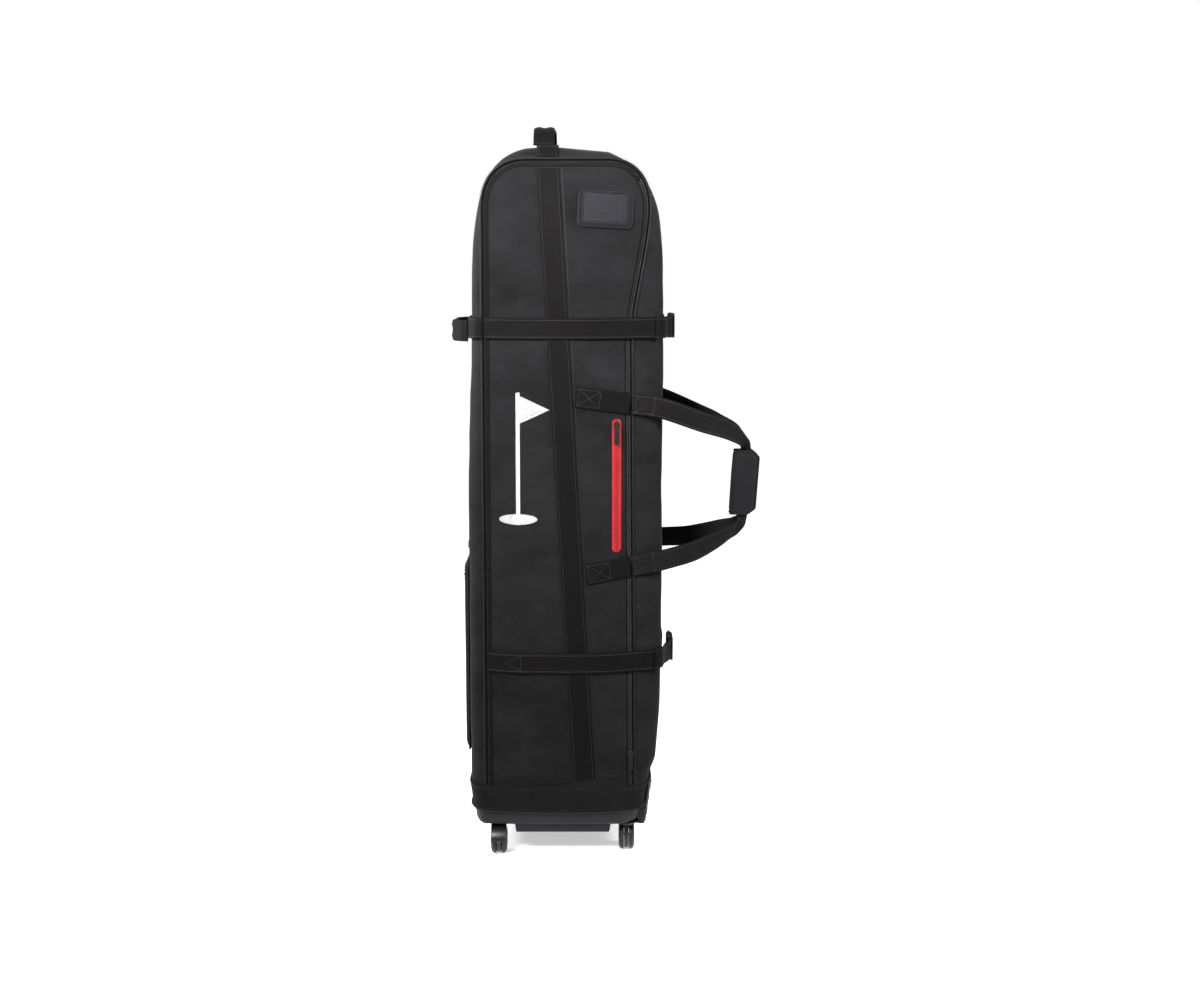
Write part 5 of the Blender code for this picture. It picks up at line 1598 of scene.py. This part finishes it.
# ---------------------------------------------------------------- casters
WHEEL_INNER = 0.0050        # from the middle of the axle to a wheel's inner face
WHEEL_OUTER = WHEEL_INNER + 0.0095


def make_caster(name, x, y, trail):
    """Twin-wheel spinner, its wheels trailing behind the stem."""
    low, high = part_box(f"caster_{name}_wheel_front")
    radius = (high.z - low.z) / 2
    hub = Vector((x, y + trail, radius))
    stem_top = (x, y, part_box(f"caster_{name}_fork")[1].z)
    make_fork(name, hub, radius, math.copysign(1.0, trail), stem_top)
    for which, side in (("back", -1), ("front", 1)):
        make_wheel(name, which, side, hub, radius)
    make_pin(name, hub)


def make_fork(name, hub, radius, lean, stem_top):
    """Hood over a caster's wheels, the web between them, and the stem."""
    def place(a, b, c):
        return hub + Vector((c, a, b))

    def arc(reach, angles):
        return [(-lean * reach * math.cos(a), reach * math.sin(a)) for a in angles]

    hood = radius + 0.0014
    half_hood = WHEEL_OUTER - 0.0004
    over = steps(math.radians(60), math.radians(174), 26)
    under = steps(math.radians(186), math.radians(350), 24)
    shape = Shape()
    cover = arc(hood + 0.0024, over) + arc(hood, reversed(over))
    web = arc(hood + 0.001, over) + arc(radius - 0.0022, under)
    shape.add_plate(cover, place, -half_hood, half_hood, 0.0008, 3)
    shape.add_plate(web, place, -0.0040, 0.0040, 0.0010, 3)
    stem = [(-0.0005, 0.0), (-0.0005, 0.0140), (-0.0012, 0.0150), (-0.0030, 0.0150), (-0.0052, 0.0140),
            (-0.0070, 0.0120), (-0.0088, 0.0116), (-0.0088, 0.0)]
    shape.add(*turned(stem, stem_top, "Z", 40))
    shape.make(f"caster_hood_{name}", (MATS["caster"],), f"caster_{name}", (f"caster_{name}_fork",),
               "caster", 35)


def make_wheel(name, which, side, hub, radius):
    """Wheel with a rounded tread, and six spokes in its hollow outer face."""
    inner, outer = WHEEL_INNER, WHEEL_OUTER
    bore = 0.0022
    tread = [(inner, bore), (inner, radius - 0.0024), (inner + 0.0007, radius - 0.0007),
             (inner + 0.0022, radius), (inner + 0.0036, radius), (inner + 0.0052, radius - 0.0004),
             (inner + 0.0068, radius - 0.0016), (outer - 0.0014, radius - 0.0034),
             (outer - 0.0005, radius - 0.0054), (outer, radius - 0.0078),
             (outer - 0.0006, radius - 0.0088), (outer - 0.0020, radius - 0.0092),
             (outer - 0.0024, 0.0105), (outer - 0.0012, 0.0095), (outer - 0.0008, 0.0060),
             (outer - 0.0014, 0.0045), (outer - 0.0014, bore)]
    shape = Shape().add(*turned([(side * a, r) for a, r in tread], hub, "X", 56))
    rim = radius - 0.0090
    spoke = [(0.0086, -0.0013), (rim, -0.0019), (rim, 0.0019), (0.0086, 0.0013)]
    for k in range(6):
        turn = Matrix.Rotation(2 * math.pi * k / 6, 3, "X")
        shape.add_plate(spoke, lambda a, b, c: hub + turn @ Vector((c, a, b)), side * (outer - 0.0026),
                        side * (outer - 0.0010), 0.0005, slot=1)
    shape.make(f"caster_tyre_{name}_{which}", (MATS["wheel"], MATS["hub"]), f"wheels_{name}",
               (f"caster_{name}_wheel_{which}",), "wheel", 35)


def make_pin(name, hub):
    """Axle through both wheels, with a head at each end."""
    reach = WHEEL_OUTER - 0.0006
    head = [(reach - 0.0016, 0.0020), (reach - 0.0014, 0.0031), (reach - 0.0006, 0.0031), (reach, 0.0022),
            (reach, 0.0)]
    shape = Shape().add(*turned([(-a, r) for a, r in reversed(head)] + head, hub, "X", 24))
    shape.make(f"caster_pin_{name}", (MATS["steel"],), f"wheels_{name}", (f"caster_{name}_axle",), "axle", 35)


# ---------------------------------------------------------------- floor, light, camera
SKY_LOW = 0.02              # strength of the light from the horizon
SKY_HIGH = 0.95             # and from overhead
FLOOR_GLOW = 0.50           # the floor is a lit white table
FLOOR_HALF = 9
LAMP_SIZE = 0.7
LAMP_SPREAD = math.radians(64)
LAMPS = (                   # name, place, power; each is aimed at the upper part of the case
    ("key", (-0.90, -2.00, 1.95), 34.0),
    ("fill", (2.00, -0.80, 1.85), 16.0),
    ("rim", (0.80, 2.00, 1.95), 31.0),
    ("back", (-2.05, 0.50, 1.85), 20.0))
LAMP_AIM = Vector((-0.05, 0.0, 1.12))


def make_floor():
    """White table, which shows under the case in the picture only."""
    look = Nodes("studio_floor", (0.82, 0.82, 0.82), 0.9, Specular_IOR_Level=0.1)
    look.roughness(look.level(look.noise(3.0), 0.85, 0.95))
    look.shader.inputs["Emission Color"].default_value = (1, 1, 1, 1)
    look.shader.inputs["Emission Strength"].default_value = FLOOR_GLOW
    corners = [(a, b, 0) for a, b in bar(0, 0, FLOOR_HALF, FLOOR_HALF)]
    floor = Shape().add(corners, [(0, 1, 2, 3)]).make("floor", (look.mat,), outward=False)


def make_studio():
    """White surroundings, lit softly from above."""
    world = bpy.data.worlds.new("studio")
    bpy.context.scene.world = world
    world.use_nodes = True
    tree = world.node_tree
    shown = tree.nodes["Background"]
    shown.inputs["Color"].default_value = (1, 1, 1, 1)
    shown.inputs["Strength"].default_value = 1.0
    lit = tree.nodes.new("ShaderNodeBackground")
    lit.inputs["Color"].default_value = (1, 1, 1, 1)
    place = tree.nodes.new("ShaderNodeTexCoord")
    split = tree.nodes.new("ShaderNodeSeparateXYZ")
    tree.links.new(place.outputs["Generated"], split.inputs[0])
    rise = tree.nodes.new("ShaderNodeMapRange")
    rise.inputs["To Min"].default_value = SKY_LOW
    rise.inputs["To Max"].default_value = SKY_HIGH
    tree.links.new(split.outputs["Z"], rise.inputs["Value"])
    tree.links.new(rise.outputs["Result"], lit.inputs["Strength"])
    path = tree.nodes.new("ShaderNodeLightPath")
    mix = tree.nodes.new("ShaderNodeMixShader")
    tree.links.new(path.outputs["Is Camera Ray"], mix.inputs[0])
    tree.links.new(lit.outputs[0], mix.inputs[1])
    tree.links.new(shown.outputs[0], mix.inputs[2])
    tree.links.new(mix.outputs[0], tree.nodes["World Output"].inputs["Surface"])
    for name, spot, power in LAMPS:
        light = bpy.data.lights.new(name, "AREA")
        light.size = LAMP_SIZE
        light.spread = LAMP_SPREAD
        light.energy = power
        lamp = bpy.data.objects.new(name, light)
        lamp.location = spot
        lamp.rotation_euler = (LAMP_AIM - Vector(spot)).to_track_quat("-Z", "Y").to_euler()
        # The rim lamp would glare off every upward edge, which the camera sees at a low angle.
        lamp.visible_glossy = name != "rim"
        bpy.context.scene.collection.objects.link(lamp)


CAMERA_AIM = Vector((-0.012, 0.0, 0.6397))
CAMERA_DISTANCE = 3.362
CAMERA_RISE = math.radians(7.955)
CAMERA_LENS = 54.2


def make_camera():
    """Camera that looks at the near side from a little above."""
    data = bpy.data.cameras.new("camera")
    data.lens = CAMERA_LENS
    camera = bpy.data.objects.new("camera", data)
    away = Vector((0.0, -math.cos(CAMERA_RISE), math.sin(CAMERA_RISE)))
    camera.location = CAMERA_AIM + away * CAMERA_DISTANCE
    camera.rotation_euler = (-away).to_track_quat("-Z", "Y").to_euler()
    bpy.context.scene.collection.objects.link(camera)
    bpy.context.scene.camera = camera
    bpy.context.scene.view_settings.view_transform = "Standard"


# ---------------------------------------------------------------- assembly
make_camera()
make_floor()
make_studio()
make_wall()
make_panel("lid_cloth", -1, LID_INSET, "lid", "lid_panel")
make_panel("far_cloth", 1, FAR_INSET, "case", "side_panel_far")
make_piping()
make_zip("zip_half_case", 0.0006, 0.0056, "case", "zip_tape_case")
make_zip("zip_half_lid", ZIP_WIDTH + 0.0008, ZIP_WIDTH + 0.0030, "lid", "zip_tape_lid")
make_skirt()
make_fold()
make_base()
make_kick_plate()
make_upright("near", -1, "lid", LID_INSET)
make_upright("far", 1, "case", FAR_INSET)
make_top_web()
make_near_straps()
make_far_straps()
make_anchors()
make_grab_handle("top_grab", "top_handle", (0, 0, 1), (1, 0, 0))
make_grab_handle("back_grab", "back_handle", (-1, 0, 0), (0, 0, 1))
for tag, side in (("near", -1), ("far", 1)):
    make_carry_loop(tag, side)
    make_grip(tag, side)
for level in STRAP_Z:
    make_socket(level)
    make_clip(level)
make_id_window()
make_id_border()
make_red_zip()
for prefix in ("main", "pocket"):
    make_slider(prefix)
    make_puller(prefix)
make_emblem()
make_back_pocket()
make_top_pad()
for joint_name, joint in JOINTS.items():
    if joint_name.startswith("swivel_"):
        caster = joint_name.removeprefix("swivel_")
        x, y, _ = joint["pos_m"]
        make_caster(caster, x, y, -CASTER_TRAIL if caster.startswith("back") else CASTER_TRAIL)
